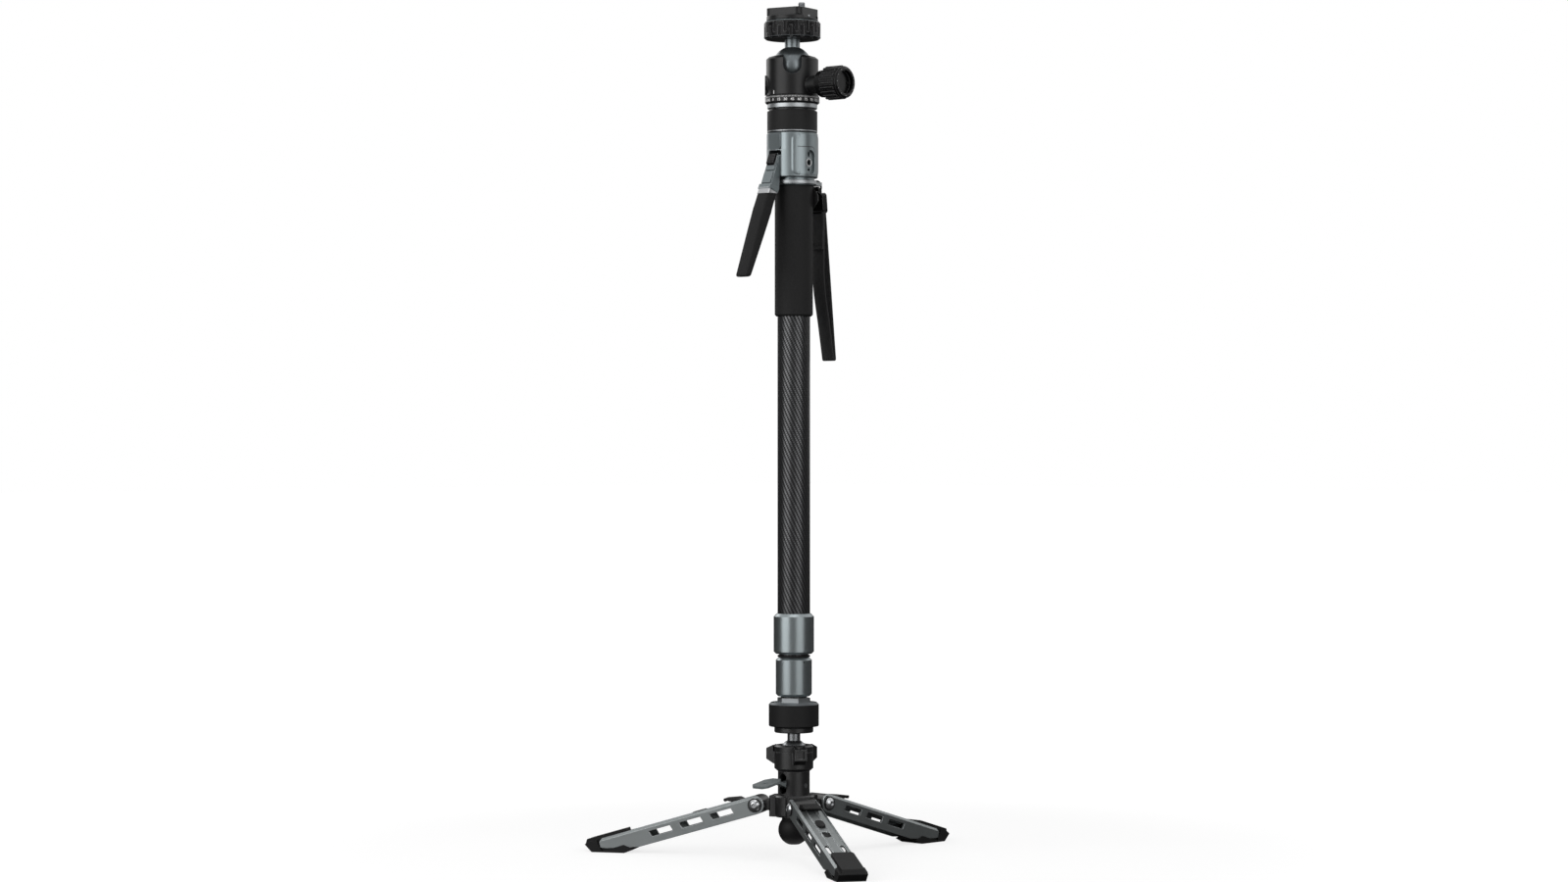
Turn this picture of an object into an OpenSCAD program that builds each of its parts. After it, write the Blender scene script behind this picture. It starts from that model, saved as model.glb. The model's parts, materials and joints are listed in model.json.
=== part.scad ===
// Camera monopod: a three-leg base with a ball joint, a telescoping mast with a squeeze lever,
// and a ball head with a quick-release plate. Millimetres. The tube axis is Z and the origin is the
// sole of the centre foot. The lever and the pedal face -Y, the accessory hole faces +X.

/* [Base] */
// Radius of the centre foot's bulb
foot_r = 14.3; // [13:0.1:16]
// Radius of the centre foot's flat sole
foot_sole_r = 5; // [3:0.5:7]
// Radius of the centre foot's neck
foot_neck_r = 11; // [9:0.5:12]
// Height of the centre foot, from sole to hub
foot_h = 25.5; // [24:0.5:30]
// Radius of the hub
hub_r = 19; // [18:0.5:21]
// Height of the hub
hub_h = 20; // [18:0.5:24]
// Radius of the column above the hub
column_r = 14.7; // [14.2:0.1:15.5]
// Wall of the column
column_wall = 3.2; // [2.5:0.1:4]
// Height of the column
column_h = 22; // [21:0.5:26]
// Radius of the ball housing
housing_r = 18; // [17.5:0.1:19]
// Height of the ball housing, up to its cap
housing_h = 17.8; // [17:0.1:20]
// Height of the housing's cap
cap_h = 6.4; // [6:0.1:7.5]
// Radius of the base ball
base_ball_r = 13; // [12.5:0.1:13.3]
// Height of the base ball's centre below the top of the cap
base_ball_drop = 7.6; // [7.2:0.1:8]
// Radius of the base ball's stem
stem_r = 5.95; // [5.5:0.05:6.2]
// Length of the stem from the ball's centre to the swivel disc
stem_len = 18.9; // [18:0.1:24]
// Radius of the swivel disc
disc_r = 18; // [16:0.5:20]
// Thickness of the swivel disc
disc_h = 5.3; // [4:0.1:7]
// Reach of the leg catches from the tube axis
catch_reach = 24.9; // [22:0.1:25]
// Width of the leg catches
catch_w = 11.5; // [9:0.5:13]

/* [Pedal] */
// Reach of the pedal from the tube axis
pedal_reach = 48; // [42:1:56]
// Width of the pedal's pad
pedal_w = 20; // [16:0.5:22]
// Thickness of the pedal plate
pedal_t = 2.4; // [2:0.1:3]
// Slope of the pedal, down and outwards
pedal_slope = 12; // [9:0.5:13]
// Radius of the pedal pin
pedal_pin_r = 2; // [1.5:0.1:2.5]

/* [Legs] */
// Height of the leg channels' ends above the floor, along their middle line
toe_lift = 3.94; // [3.5:0.01:4.5]
// Distance of the leg pivots from the tube axis
pivot_reach = 34; // [33.5:0.5:38]
// Height of the leg pivots above the hub's bottom
pivot_lift = 10.5; // [10:0.1:11]
// Width of a leg channel
leg_w = 25; // [24:0.5:27]
// Depth of a leg channel
leg_d = 17; // [16.5:0.1:17.4]
// Wall of a leg channel
leg_wall = 2; // [1.6:0.1:2.4]
// Length of a leg channel from its pivot
leg_len = 155; // [154:0.5:158]
// Length of the slots in the leg's sides
side_slot_len = 23; // [18:0.5:25]
// Height of the slots in the leg's sides
side_slot_h = 5.6; // [4.5:0.1:7]
// Distance between the slots in the leg's sides
side_slot_pitch = 30.5; // [28:0.5:31]
// Radius of the leg pivot screws
pivot_screw_r = 3; // [2.5:0.1:3.5]
// Radius of the leg pivot screws' heads
pivot_head_r = 5.5; // [4.5:0.1:6]
// Thickness of the pivot washers
washer_t = 0.9; // [0.6:0.1:1.2]
// Height of the floor below the centre foot's sole
floor_drop = 11.7; // [11.5:0.1:12]

/* [Mast] */
// Outer radius of the lock rings
lock_ring_r = 23.1; // [22:0.1:24]
// Height of the lower lock ring
lower_ring_h = 22.1; // [20:0.1:26]
// Radius of the mast nut, across corners
nut_r = 15.7; // [15:0.1:17]
// Height of the mast nut
nut_h = 4.1; // [3:0.1:6]
// Outer radius of the lowest tube, tube 3
tube_3_r = 12; // [11.5:0.1:12]
// Outer radius of the middle tube, tube 2
tube_2_r = 13.5; // [13.5:0.1:13.6]
// Outer radius of the top tube, tube 1
tube_1_r = 15; // [15:0.1:15.3]
// Wall of the tubes
tube_wall = 1.2; // [0.9:0.1:1.2]
// Radius of the lower collar, collar 2
collar_2_r = 16.65; // [16:0.05:17.5]
// Height of the lower collar
collar_2_h = 36; // [30:0.5:42]
// Radius of the upper collar, collar 1
collar_1_r = 18.6; // [18:0.1:20]
// Height of the upper collar
collar_1_h = 37; // [30:0.5:44]
// Bare length of tube 3 below collar 2
tube_3_show = 1.5; // [1:0.1:4]
// Bare length of tube 2 between the collars
tube_2_show = 3; // [2:0.1:6]
// Bare length of tube 1 below the grip
tube_1_show = 273.5; // [240:0.5:330]
// Radius of the release rod
rod_r = 3; // [2.5:0.1:3.2]
// Travel of each telescoping section
section_travel = 330; // [260:5:335]

/* [Handle] */
// Radius of the grip
grip_r = 17.6; // [17:0.1:19]
// Height of the grip
grip_h = 120.5; // [110:0.5:140]
// Reach of the grip's hand stop from the tube axis
hand_stop_reach = 22.8; // [20:0.1:24]
// Radius of the strap ring
strap_ring_r = 21; // [20.5:0.1:21.2]
// Height of the strap ring
strap_ring_h = 4; // [3.5:0.1:5]
// Radius of the handle block
block_r = 23.5; // [23:0.1:24.5]
// Height of the handle block
block_h = 41.2; // [41:0.1:46]
// Distance of the head's axis from the tube axis, towards the lever
head_offset = 2; // [1.5:0.1:2.6]
// Thickness of the block's raised side cover
cover_t = 1.5; // [1.2:0.1:1.8]
// Wall radius of the accessory hole, tapped for a quarter-inch screw
accessory_hole_r = 2.6; // [2.5:0.05:2.7]
// Height of the upper lock ring
upper_ring_h = 20; // [18:0.1:24]

/* [Lever] */
// Number of degrees that the lever stands away from the tube
lever_splay = 21.7; // [21:0.1:24]
// Length of the lever from its pin to its tip
lever_len = 115; // [100:1:125]
// Width of the lever's sleeve
sleeve_w = 14; // [12:0.5:15]
// Thickness of the lever's sleeve at its top
sleeve_top_t = 11.7; // [10.5:0.1:12]
// Thickness of the lever's sleeve at its tip
sleeve_tip_t = 6; // [5.5:0.1:8]
// Height of the lever pin above the block's bottom
lever_pin_lift = 15.2; // [15:0.1:15.4]
// Radius of the lever pin
lever_pin_r = 2; // [1.5:0.1:2.2]

/* [Strap] */
// Width of the strap's webbing
strap_w = 15; // [12:0.5:15]
// Thickness of the strap's webbing
strap_t = 1.6; // [1.2:0.1:2]
// Length that the strap hangs below its lug
strap_drop = 164; // [130:1:190]
// Number of degrees that the strap hangs away from the grip
strap_lean = 5.6; // [5:0.1:8]

/* [Ball head] */
// Radius of the silver pan base
pan_base_r = 23; // [22:0.1:24]
// Height of the silver pan base's rim
pan_base_h = 4.6; // [4:0.1:5.5]
// Radius of the pan scale ring
scale_ring_r = 25; // [24.4:0.1:25.5]
// Height of the pan scale ring
scale_ring_h = 7; // [6:0.1:9]
// Radius of the head housing
head_r = 24; // [23.6:0.1:24.3]
// Height of the head housing
head_h = 37; // [36.6:0.1:38]
// Radius of the head ball
head_ball_r = 18; // [17.5:0.1:18.2]
// Height of the head ball's centre below the housing's rim
head_ball_drop = 9; // [8.8:0.1:9.5]
// Radius of the ball's neck
neck_r = 7; // [6.4:0.1:7.3]
// Distance from the ball's centre to the clamp
neck_len = 24.2; // [24.2:0.1:28]
// Width of the drop notch
notch_w = 17; // [16.5:0.1:18]
// Radius of the lock knob over its ribs
knob_r = 15.4; // [14.5:0.1:16]
// Reach of the lock knob from the head's axis
knob_reach = 63.5; // [58:0.5:68]
// Number of ribs on the lock knob
knob_ribs = 22; // [16:1:26]

/* [Clamp and plate] */
// Radius of the clamp ring
clamp_ring_r = 26; // [25:0.1:27]
// Height of the clamp ring
clamp_ring_h = 16.1; // [15:0.1:18]
// Number of finger grooves round the clamp ring
clamp_grooves = 30; // [20:1:34]
// Radius of the clamp base
clamp_base_r = 23.7; // [23:0.1:25]
// Thickness of the clamp base's jaws
jaw_h = 5; // [4.5:0.1:6]
// Side of the quick-release plate
plate_side = 37.5; // [36:0.5:39]
// Thickness of the quick-release plate above its dovetail
plate_h = 6.5; // [6:0.1:8]
// Length of the camera screw above the plate
screw_show = 5.5; // [4.5:0.1:6]
// Radius of the camera screw, a quarter-inch thread
screw_r = 3.175; // [3.175:0.005:3.175]
// Distance of the camera screw from the head's axis, along the plate
screw_offset = 10; // [8:0.5:10.5]

/* [Clearances] */
// Radial clearance of pins, shafts and balls that turn in their seats
fit = 0.05; // [0.03:0.01:0.08]
// Clearance between pieces that pass each other
slip = 0.3; // [0.2:0.05:0.35]

/* [Hidden] */
$fn = 64;
eps = 0.01;
far = 400;

LEG_AZIMUTHS = [90, 210, 330];
STRAP_AZIMUTH = 90;
NOTCH_AZIMUTH = 315;
KNOB_AZIMUTH = 5;
BOSS_AZIMUTH = 225;
PLATE_AZIMUTH = 14.3;
SIDES = [-1, 1];

BLACK = [0.06, 0.06, 0.065];
RUBBER = [0.05, 0.05, 0.05];
GREY = [0.47, 0.5, 0.52];
STEEL = [0.66, 0.67, 0.68];
CARBON = [0.12, 0.12, 0.13];
NYLON = [0.82, 0.81, 0.78];
SILVER = [0.78, 0.79, 0.8];

// Heights, stacked from the centre foot's sole upwards
foot_centre_z = sqrt(foot_r * foot_r - foot_sole_r * foot_sole_r);
hub_z = foot_h;
hub_top_z = hub_z + hub_h;
pivot_z = hub_z + pivot_lift;
leg_slope = asin((pivot_z + floor_drop - toe_lift) / leg_len);
column_top_z = hub_top_z + column_h;
cap_z = column_top_z + housing_h;
cap_top_z = cap_z + cap_h;
base_ball_z = cap_top_z - base_ball_drop;
disc_z = base_ball_z + stem_len;
disc_top_z = disc_z + disc_h;
lower_ring_z = disc_top_z + 0.5;
lower_ring_top_z = lower_ring_z + lower_ring_h;
nut_top_z = lower_ring_top_z + nut_h;
collar_2_z = nut_top_z + tube_3_show;
collar_2_top_z = collar_2_z + collar_2_h;
collar_1_z = collar_2_top_z + tube_2_show;
collar_1_top_z = collar_1_z + collar_1_h;
grip_z = collar_1_top_z + tube_1_show;
grip_top_z = grip_z + grip_h;
strap_ring_z = grip_top_z + 0.5;
block_z = strap_ring_z + strap_ring_h + 2.1;
block_top_z = block_z + block_h;
upper_ring_z = block_top_z + 0.4;
mount_flange_z = upper_ring_z + upper_ring_h + 0.3;
pan_z = mount_flange_z + 1.7;
scale_z = pan_z + pan_base_h;
head_z = scale_z + scale_ring_h + slip;
head_top_z = head_z + head_h;
head_ball_z = head_top_z - head_ball_drop;
clamp_z = head_ball_z + neck_len;
jaw_z = clamp_z + clamp_ring_h + 0.4;
plate_z = jaw_z + jaw_h;
plate_top_z = plate_z + plate_h;

// Base
foot_spigot_r = 6;
foot_spigot_h = 8;
housing_flare_h = 2.7;
plunger_r = 5;
plunger_flange_r = 8.5;
plunger_flange_h = 2;
seat_bore_r = housing_r - 4;
seat_h = 7;
seat_z = base_ball_z - 11.1;
lip_z = seat_z - 3;
lip_h = 1.8;
cap_chamfer = 1.5;
catch_low_z = cap_z - 11;
catch_out_low_z = cap_z - 6.7;
catch_out_high_z = cap_top_z - 3.1;
pedal_pin_y = 1;
pedal_pin_z = hub_top_z + 9.5;
pedal_mouth_z = pedal_pin_z + 2.2;
pedal_pad_z = pedal_pin_z + 5.6;
pedal_neck_w = 8;
pedal_slot_w = pedal_neck_w + 2 * slip;
pedal_inner_y = 7;
pedal_nose_z = pedal_pin_z + 8;
plunger_z = pedal_nose_z + slip;
plunger_top_z = base_ball_z - base_ball_r - 1.3;

// Legs
leg_end_r = leg_d / 2;
leg_inner_w = leg_w - 2 * leg_wall;
barrel_r = leg_end_r + 0.3;
barrel_w = leg_inner_w - 2 * slip;
ear_reach = pivot_reach - leg_end_r - 4.5;
ear_w = leg_w - 1;
arm_w = 15;
arm_h = 9.5;
web_start = 23;
web_end = leg_len - 3;
web_low = leg_end_r - 3.5;
chamfer_in = leg_wall - 0.2;
chamfer_drop = 2.2;
side_slot_start = 33;
side_slot_rise = 0.5;
slot_slant = 1.6;
web_hole_at = [56, 78];
web_slot_at = 112;
tab_pin_r = 1.5;
tab_pin_at = [16, 4.5];
tab_w = 16;
tab_rear = 12.5;
tab_low = 2.5;
tab_knee = 19;
tab_tip = 29;
tab_rise = 2.7;
taper_len = 37;
taper_start = leg_len - taper_len;
sole_rear = leg_len - 21;
sole_front = leg_len + 9.5;
heel_ramp = 9.5;
heel_lift = 1.4;
pad_start = leg_len - 27;
pad_nose = leg_len + 12;
boot_nose = leg_len + 14;
nose_drop = 1.3;
flap_start = leg_len - 22.5;
flap_nose = leg_len + 11;
flap_face = leg_len + 1.5;
flap_proud = 0.8;
flap_corner = 4.7;
flap_edge = 3;
pad_proud = 2.9;
pad_bevel = 0.8;
pad_corner = 4;

// Mast
lock_wall = 3.3;
mast_foot_r = lock_ring_r - lock_wall - slip;
spigot_h = 14;
collar_lip_h = 3.5;
tube_3_in_r = tube_3_r - tube_wall;
tube_2_in_r = tube_2_r - tube_wall;
tube_1_in_r = tube_1_r - tube_wall;
tube_1_top_z = block_z + 6.9;
clutch_h = 8;
clutch_stub_h = 6;
clutch_2_z = grip_top_z - 6.5;
clutch_3_z = clutch_2_z - clutch_h - 10;
rod_pass_r = rod_r + 0.5;
rod_bottom_z = clutch_2_z - section_travel - 10;

// Handle block
neck_sleeve_r = 19;
cavity_r = 12;
head_stub_h = 6;
cavity_top_z = block_top_z - head_stub_h - 2;
slot_w = 15.5;
slot_h = 24.7;
slot_top_z = block_z + slot_h;
panel_z = slot_top_z + 0.7;
panel_w = 15;
panel_t = 1.4;
panel_y = -head_offset - block_r + 1.7;
facet_turn = 19;
facet_in = 0.4;
cover_half_h = 18.5;
cover_mid_z = block_z + block_h / 2;
cover_half_w = 16.5;
cover_corner_r = 5;
pill_w = 12;
pill_h = 22.5;
pill_floor = block_r - 2.2;
accessory_z = block_z + 13.4;
accessory_y = -head_offset;
locator_w = 3;
locator_h = 4.5;
locator_at = 7.6;
head_stub_r = 8;
mount_r = lock_ring_r - lock_wall - slip - 0.8;
mount_flange_r = 21;
stud_r = 4.7;
stud_h = 12;
spindle_r = 10;
spindle_h = 8.7;

// Lever
lever_pin_y = -head_offset - block_r + 4;
lever_pin_z = block_z + lever_pin_lift;
lever_head_r = 6;
nose_half_h = 2.5;
nose_w = sleeve_w - 1;
shank_w = sleeve_w - 0.4;
nose_y = 3;
flange_r = 7;
flange_h = 2.3;
flange_z = lever_pin_z + nose_half_h + 0.4;
arm_in = 2.8;
arm_out = 5.2;
sleeve_start = 31;
sleeve_mid = 1.05;
core_w = sleeve_w - 4;
pin_len = 18;
latch_seat = 6.2;
latch_t = 2.2;
latch_w = 10;
latch_len = 12;
latch_start = -4.5;

// Strap, measured from the swing axis in the wall of the lug
lug_reach = 30.9;
lug_wall = 1.6;
lug_t = 3.4;
lug_w = 12;
lug_hole_r = 3;
swing_reach = lug_reach - lug_wall / 2;
swing_z = strap_ring_z + strap_ring_h / 2;
loop_r = 5.4;
loop_wire_r = 1;
loop_drop = 2.3;
slider_top = -8;
slider_low = -27;
slider_w = 16;
slider_in = -2;
slider_out = 4;
slider_neck_top = -3.2;
eye_r = 2.2;
webbing_top = slider_low + 3.5;
webbing_out = 2.6;
webbing_bow = 6.2;

// Ball head
shoulder_drop = 3.4;
rim_r = sqrt(pow(head_ball_r + slip, 2) - head_ball_drop * head_ball_drop);
seat_r = 16.9;
head_seat_z = head_z + spindle_h + 0.2;
head_seat_h = 7.5;
knob_z = head_z + 9.2;
knob_boss_r = 8.5;
knob_boss_reach = 34;
knob_start = knob_boss_reach + slip;
knob_shaft_r = 4;
knob_body_r = knob_r - 0.9;
rib_w = 2.2;
knob_collar_r = 12.4;
knob_collar_len = 8.5;
dish_r = 10.9;
dish_depth = 4.5;
pad_boss_r = 9.3;
pad_boss_reach = 25.2;
ball_spigot_r = 5;
ball_spigot_h = 7;
clamp_hub_r = 20;
groove_r = 1.7;
dovetail_h = 3;
dovetail_low_w = 28;
dovetail_top_w = 24;
plate_corner_r = 6;
screw_head_r = 5.5;
screw_head_h = 4;
screw_neck_r = 2.7;
screw_tip = 0.7;
screw_head_z = plate_z - dovetail_h + 1.5;
counterbore_top_z = screw_head_z + screw_head_h + 0.2;

// Shapes that repeat

module tube(r_out, r_in, low, high) {
    difference() {
        translate([0, 0, low]) cylinder(r = r_out, h = high - low);
        translate([0, 0, low - 1]) cylinder(r = r_in, h = high - low + 2);
    }
}

module bevelled_disc(r, low, high, bevel_low, bevel_high) {
    rotate_extrude()
        polygon([
            [0, low], [r - bevel_low, low], [r, low + bevel_low],
            [r, high - bevel_high], [r - bevel_high, high], [0, high]
        ]);
}

module bevelled_ring(r_out, r_in, low, high, bevel_low, bevel_high) {
    difference() {
        bevelled_disc(r_out, low, high, bevel_low, bevel_high);
        translate([0, 0, low - 1]) cylinder(r = r_in, h = high - low + 2);
    }
}

module rounded_rect(w, h, r) {
    square([w - 2 * r, h], center = true);
    square([w, h - 2 * r], center = true);
    for (x = SIDES, y = SIDES)
        translate([x * (w / 2 - r), y * (h / 2 - r)]) circle(r = r);
}

module pill(w, h) {
    square([w, h - w], center = true);
    for (y = SIDES)
        translate([0, y * (h - w) / 2]) circle(r = w / 2);
}

// A shape drawn in X and Z, made solid along Y
module along_y(w) {
    rotate([90, 0, 0]) linear_extrude(w, center = true) children();
}

// A shape drawn in Y and Z, made solid along X
module along_x(w) {
    rotate([90, 0, 90]) linear_extrude(w, center = true) children();
}

module on_head_axis() {
    translate([0, -head_offset, 0]) children();
}

module on_knob_axis() {
    on_head_axis() rotate([0, 0, KNOB_AZIMUTH]) translate([0, 0, knob_z]) rotate([0, 90, 0]) children();
}

// One leg's own frame: X runs out along the leg, Z stands square to its top
module on_leg(azimuth) {
    rotate([0, 0, azimuth]) translate([pivot_reach, 0, pivot_z]) rotate([0, leg_slope, 0]) children();
}

// The lever's own frame: X runs down along the lever, Z points away from the grip
module on_lever() {
    translate([0, lever_pin_y, lever_pin_z]) rotate([0, 0, -90])
        rotate([0, 90 - lever_splay, 0]) children();
}

// The strap's own frame: the swing axis is Y, X points away from the grip
module on_strap() {
    rotate([0, 0, STRAP_AZIMUTH]) translate([swing_reach, 0, swing_z])
        rotate([0, -strap_lean, 0]) children();
}

// A round-wire coil spring from z = 0 to z = h
function coil_point(i, rings, r, wire_r, turns, h) =
    let (t = i / rings, a = 360 * turns * t)
    [r * cos(a), r * sin(a), wire_r + t * (h - 2 * wire_r)];
function coil_ring(i, rings, sides, r, wire_r, turns, h) =
    let (c = coil_point(i, rings, r, wire_r, turns, h), a = 360 * turns * i / rings)
    [for (s = [0:sides - 1])
        let (b = 360 * s / sides)
        c + wire_r * [cos(b) * cos(a), cos(b) * sin(a), sin(b)]];

module coil_spring(r, wire_r, turns, h) {
    sides = 6;
    rings = 12 * turns;
    points = [for (i = [0:rings]) each coil_ring(i, rings, sides, r, wire_r, turns, h)];
    walls = [for (i = [0:rings - 1], s = [0:sides - 1])
        let (a = i * sides + s, b = i * sides + (s + 1) % sides)
        each [[a, a + sides, b], [b, a + sides, b + sides]]];
    start = [for (s = [1:sides - 2]) [0, s, s + 1]];
    last = rings * sides;
    finish = [for (s = [1:sides - 2]) [last, last + s + 1, last + s]];
    polyhedron(points, concat(walls, start, finish));
}

// Base

module hub() {
    color(BLACK) difference() {
        union() {
            bevelled_disc(hub_r, hub_z, hub_top_z, 2, 1.5);
            for (a = LEG_AZIMUTHS)
                rotate([0, 0, a]) hub_arm();
        }
        for (a = LEG_AZIMUTHS)
            rotate([0, 0, a]) translate([pivot_reach, 0, pivot_z]) rotate([90, 0, 0])
                cylinder(r = pivot_screw_r + fit, h = far, center = true);
        translate([0, 0, hub_z - 1]) cylinder(r = foot_spigot_r + fit, h = foot_spigot_h + 1.5);
    }
}

module hub_arm() {
    translate([0, 0, hub_z + 0.5])
        linear_extrude(hub_h - 1)
            translate([ear_reach / 2, 0]) rounded_rect(ear_reach, ear_w, 3);
    translate([ear_reach - 1, -arm_w / 2, pivot_z - arm_h / 2])
        cube([pivot_reach - ear_reach, arm_w, arm_h]);
    translate([pivot_reach, 0, pivot_z]) rotate([90, 0, 0])
        cylinder(r = barrel_r - slip, h = barrel_w, center = true);
}

module leg_pivot_screws() {
    color(STEEL) for (a = LEG_AZIMUTHS)
        rotate([0, 0, a]) translate([pivot_reach, 0, pivot_z]) {
            rotate([90, 0, 0]) cylinder(r = pivot_screw_r, h = leg_w + 2 * washer_t, center = true);
            for (side = SIDES)
                rotate([-90 * side, 0, 0])
                    translate([0, 0, leg_w / 2 + washer_t]) dome_head(pivot_head_r, 3);
        }
}

module dome_head(r, h) {
    ball = (r * r + h * h) / (2 * h);
    difference() {
        intersection() {
            translate([0, 0, h - ball]) sphere(r = ball);
            cylinder(r = r + 1, h = h + 1);
        }
        translate([0, 0, h / 2]) cylinder(r = r * 0.4, h = h, $fn = 6);
    }
}

module pivot_washers() {
    color(BLACK) for (a = LEG_AZIMUTHS, side = SIDES)
        rotate([0, 0, a]) translate([pivot_reach, 0, pivot_z]) rotate([-90 * side, 0, 0])
            tube(pivot_head_r + 1, pivot_screw_r + fit, leg_w / 2, leg_w / 2 + washer_t);
}

module centre_foot() {
    color(RUBBER) {
        difference() {
            translate([0, 0, foot_centre_z]) sphere(r = foot_r);
            translate([-far / 2, -far / 2, -far]) cube(far);
            translate([-far / 2, -far / 2, hub_z - slip]) cube(far);
        }
        translate([0, 0, foot_centre_z]) cylinder(r = foot_neck_r, h = hub_z - foot_centre_z);
        translate([0, 0, foot_centre_z])
            cylinder(r = foot_spigot_r, h = hub_z - foot_centre_z + foot_spigot_h);
    }
}

module column() {
    color(BLACK) difference() {
        tube(column_r, column_r - column_wall, hub_top_z, column_top_z);
        translate([0, 0, (hub_top_z + column_top_z) / 2]) rotate([90, 0, 0])
            linear_extrude(far) pill(pedal_slot_w, column_h - 3);
        translate([0, pedal_pin_y, pedal_pin_z]) rotate([0, 90, 0])
            cylinder(r = pedal_pin_r + fit, h = far, center = true);
    }
}

module pedal_pin() {
    color(STEEL) translate([0, pedal_pin_y, pedal_pin_z]) rotate([0, 90, 0])
        cylinder(r = pedal_pin_r, h = 2 * column_r - 0.6, center = true);
}

module pedal() {
    pad_y = -pedal_reach + 20;
    bevel = 4;
    neck_y = -column_r - 1;
    color(GREY) difference() {
        union() {
            along_x(pedal_neck_w) polygon([
                [pedal_inner_y, pedal_nose_z - 4], [pedal_inner_y, pedal_nose_z],
                [pedal_inner_y - 3, pedal_nose_z],
                [-5, pedal_pin_z + 4.2], [neck_y, pedal_mouth_z], [pad_y + 3, pedal_pad_z - 0.4],
                [pad_y - 1, pedal_pad_z - 0.4], [pad_y - 1, pedal_pad_z - pedal_t + 0.4],
                [pad_y + 4, pedal_pad_z - pedal_t - 0.4], [neck_y, pedal_mouth_z - pedal_t - 0.6],
                [-5, pedal_pin_z - 4.2], [3, pedal_pin_z - 4.2]
            ]);
            translate([0, pad_y, pedal_pad_z]) rotate([pedal_slope, 0, 0]) translate([0, -pad_y, -pedal_t])
                linear_extrude(pedal_t) difference() {
                    polygon([
                        [-pedal_neck_w / 2 - 1, pad_y + 6], [-pedal_w / 2, pad_y],
                        [-pedal_w / 2, -pedal_reach + bevel],
                        [-pedal_w / 2 + bevel, -pedal_reach], [pedal_w / 2 - bevel, -pedal_reach],
                        [pedal_w / 2, -pedal_reach + bevel],
                        [pedal_w / 2, pad_y], [pedal_neck_w / 2 + 1, pad_y + 6]
                    ]);
                    translate([0, pad_y - 9]) circle(r = 2.2);
                }
        }
        translate([0, pedal_pin_y, pedal_pin_z]) rotate([0, 90, 0])
            cylinder(r = pedal_pin_r + fit, h = far, center = true);
    }
}

module ball_housing() {
    color(BLACK) difference() {
        union() {
            rotate_extrude() polygon([
                [0, column_top_z], [column_r, column_top_z], [housing_r, column_top_z + housing_flare_h],
                [housing_r, cap_z], [0, cap_z]
            ]);
            for (a = LEG_AZIMUTHS)
                rotate([0, 0, a]) leg_catch();
        }
        translate([0, 0, column_top_z - 1])
            cylinder(r = plunger_flange_r + 0.5, h = lip_z - column_top_z + 1);
        translate([0, 0, column_top_z - 1]) cylinder(r = plunger_r + slip, h = housing_h + 2);
        translate([0, 0, lip_z + lip_h]) cylinder(r = plunger_flange_r + 0.5, h = housing_h);
        translate([0, 0, seat_z]) cylinder(r = seat_bore_r, h = cap_z - seat_z + eps);
    }
}

module leg_catch() {
    root_r = housing_r - 2;
    clear_r = housing_r + 0.2;
    difference() {
        along_y(catch_w) polygon([
            [root_r, catch_low_z], [housing_r, catch_low_z], [catch_reach, catch_out_low_z],
            [catch_reach, catch_out_high_z], [clear_r, cap_top_z], [clear_r, cap_z], [root_r, cap_z]
        ]);
        translate([catch_reach, 0, (catch_out_low_z + catch_out_high_z) / 2])
            cube([5, catch_w - 4, 7], center = true);
        translate([catch_reach, 0, cap_top_z]) rotate([0, 90, 0])
            cylinder(r = 4, h = far, center = true, $fn = 4);
    }
}

module ball_cap() {
    color(BLACK) difference() {
        bevelled_disc(housing_r, cap_z, cap_top_z, 0.3, cap_chamfer);
        translate([0, 0, base_ball_z]) sphere(r = base_ball_r + slip);
        translate([0, 0, cap_z - 1]) cylinder(r = base_ball_r * 0.6, h = cap_h + 2);
    }
}

module ball_seat() {
    color(NYLON) difference() {
        translate([0, 0, seat_z]) cylinder(r = seat_bore_r - slip, h = seat_h);
        translate([0, 0, base_ball_z]) sphere(r = base_ball_r + fit);
        translate([0, 0, seat_z - 1]) cylinder(r = plunger_r + 2, h = seat_h + 2);
    }
}

module brake_plunger() {
    color(STEEL) {
        translate([0, 0, plunger_z]) cylinder(r = plunger_r, h = plunger_top_z - plunger_z);
        translate([0, 0, plunger_z]) cylinder(r = plunger_flange_r, h = plunger_flange_h);
    }
}

module plunger_spring() {
    low = plunger_z + plunger_flange_h + 0.1;
    color(STEEL) translate([0, 0, low]) coil_spring(plunger_r + 2, 0.35, 3, lip_z - low - 0.1);
}

module base_ball() {
    color(STEEL) {
        translate([0, 0, base_ball_z]) sphere(r = base_ball_r);
        translate([0, 0, base_ball_z]) cylinder(r = stem_r, h = stem_len + disc_h + spigot_h);
    }
}

module swivel_disc() {
    color(BLACK) bevelled_ring(disc_r, stem_r + fit, disc_z, disc_top_z, 0.8, 0.8);
}

// Legs

module leg_channel(azimuth) {
    color(GREY) on_leg(azimuth) channel_solid();
}

module channel_outline() {
    circle(r = leg_end_r);
    polygon([
        [0, -leg_end_r], [taper_start, -leg_end_r], [leg_len - 5, -1.5], [leg_len, 0.5],
        [leg_len, leg_end_r - 3], [leg_len - 3, leg_end_r], [0, leg_end_r]
    ]);
}

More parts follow.
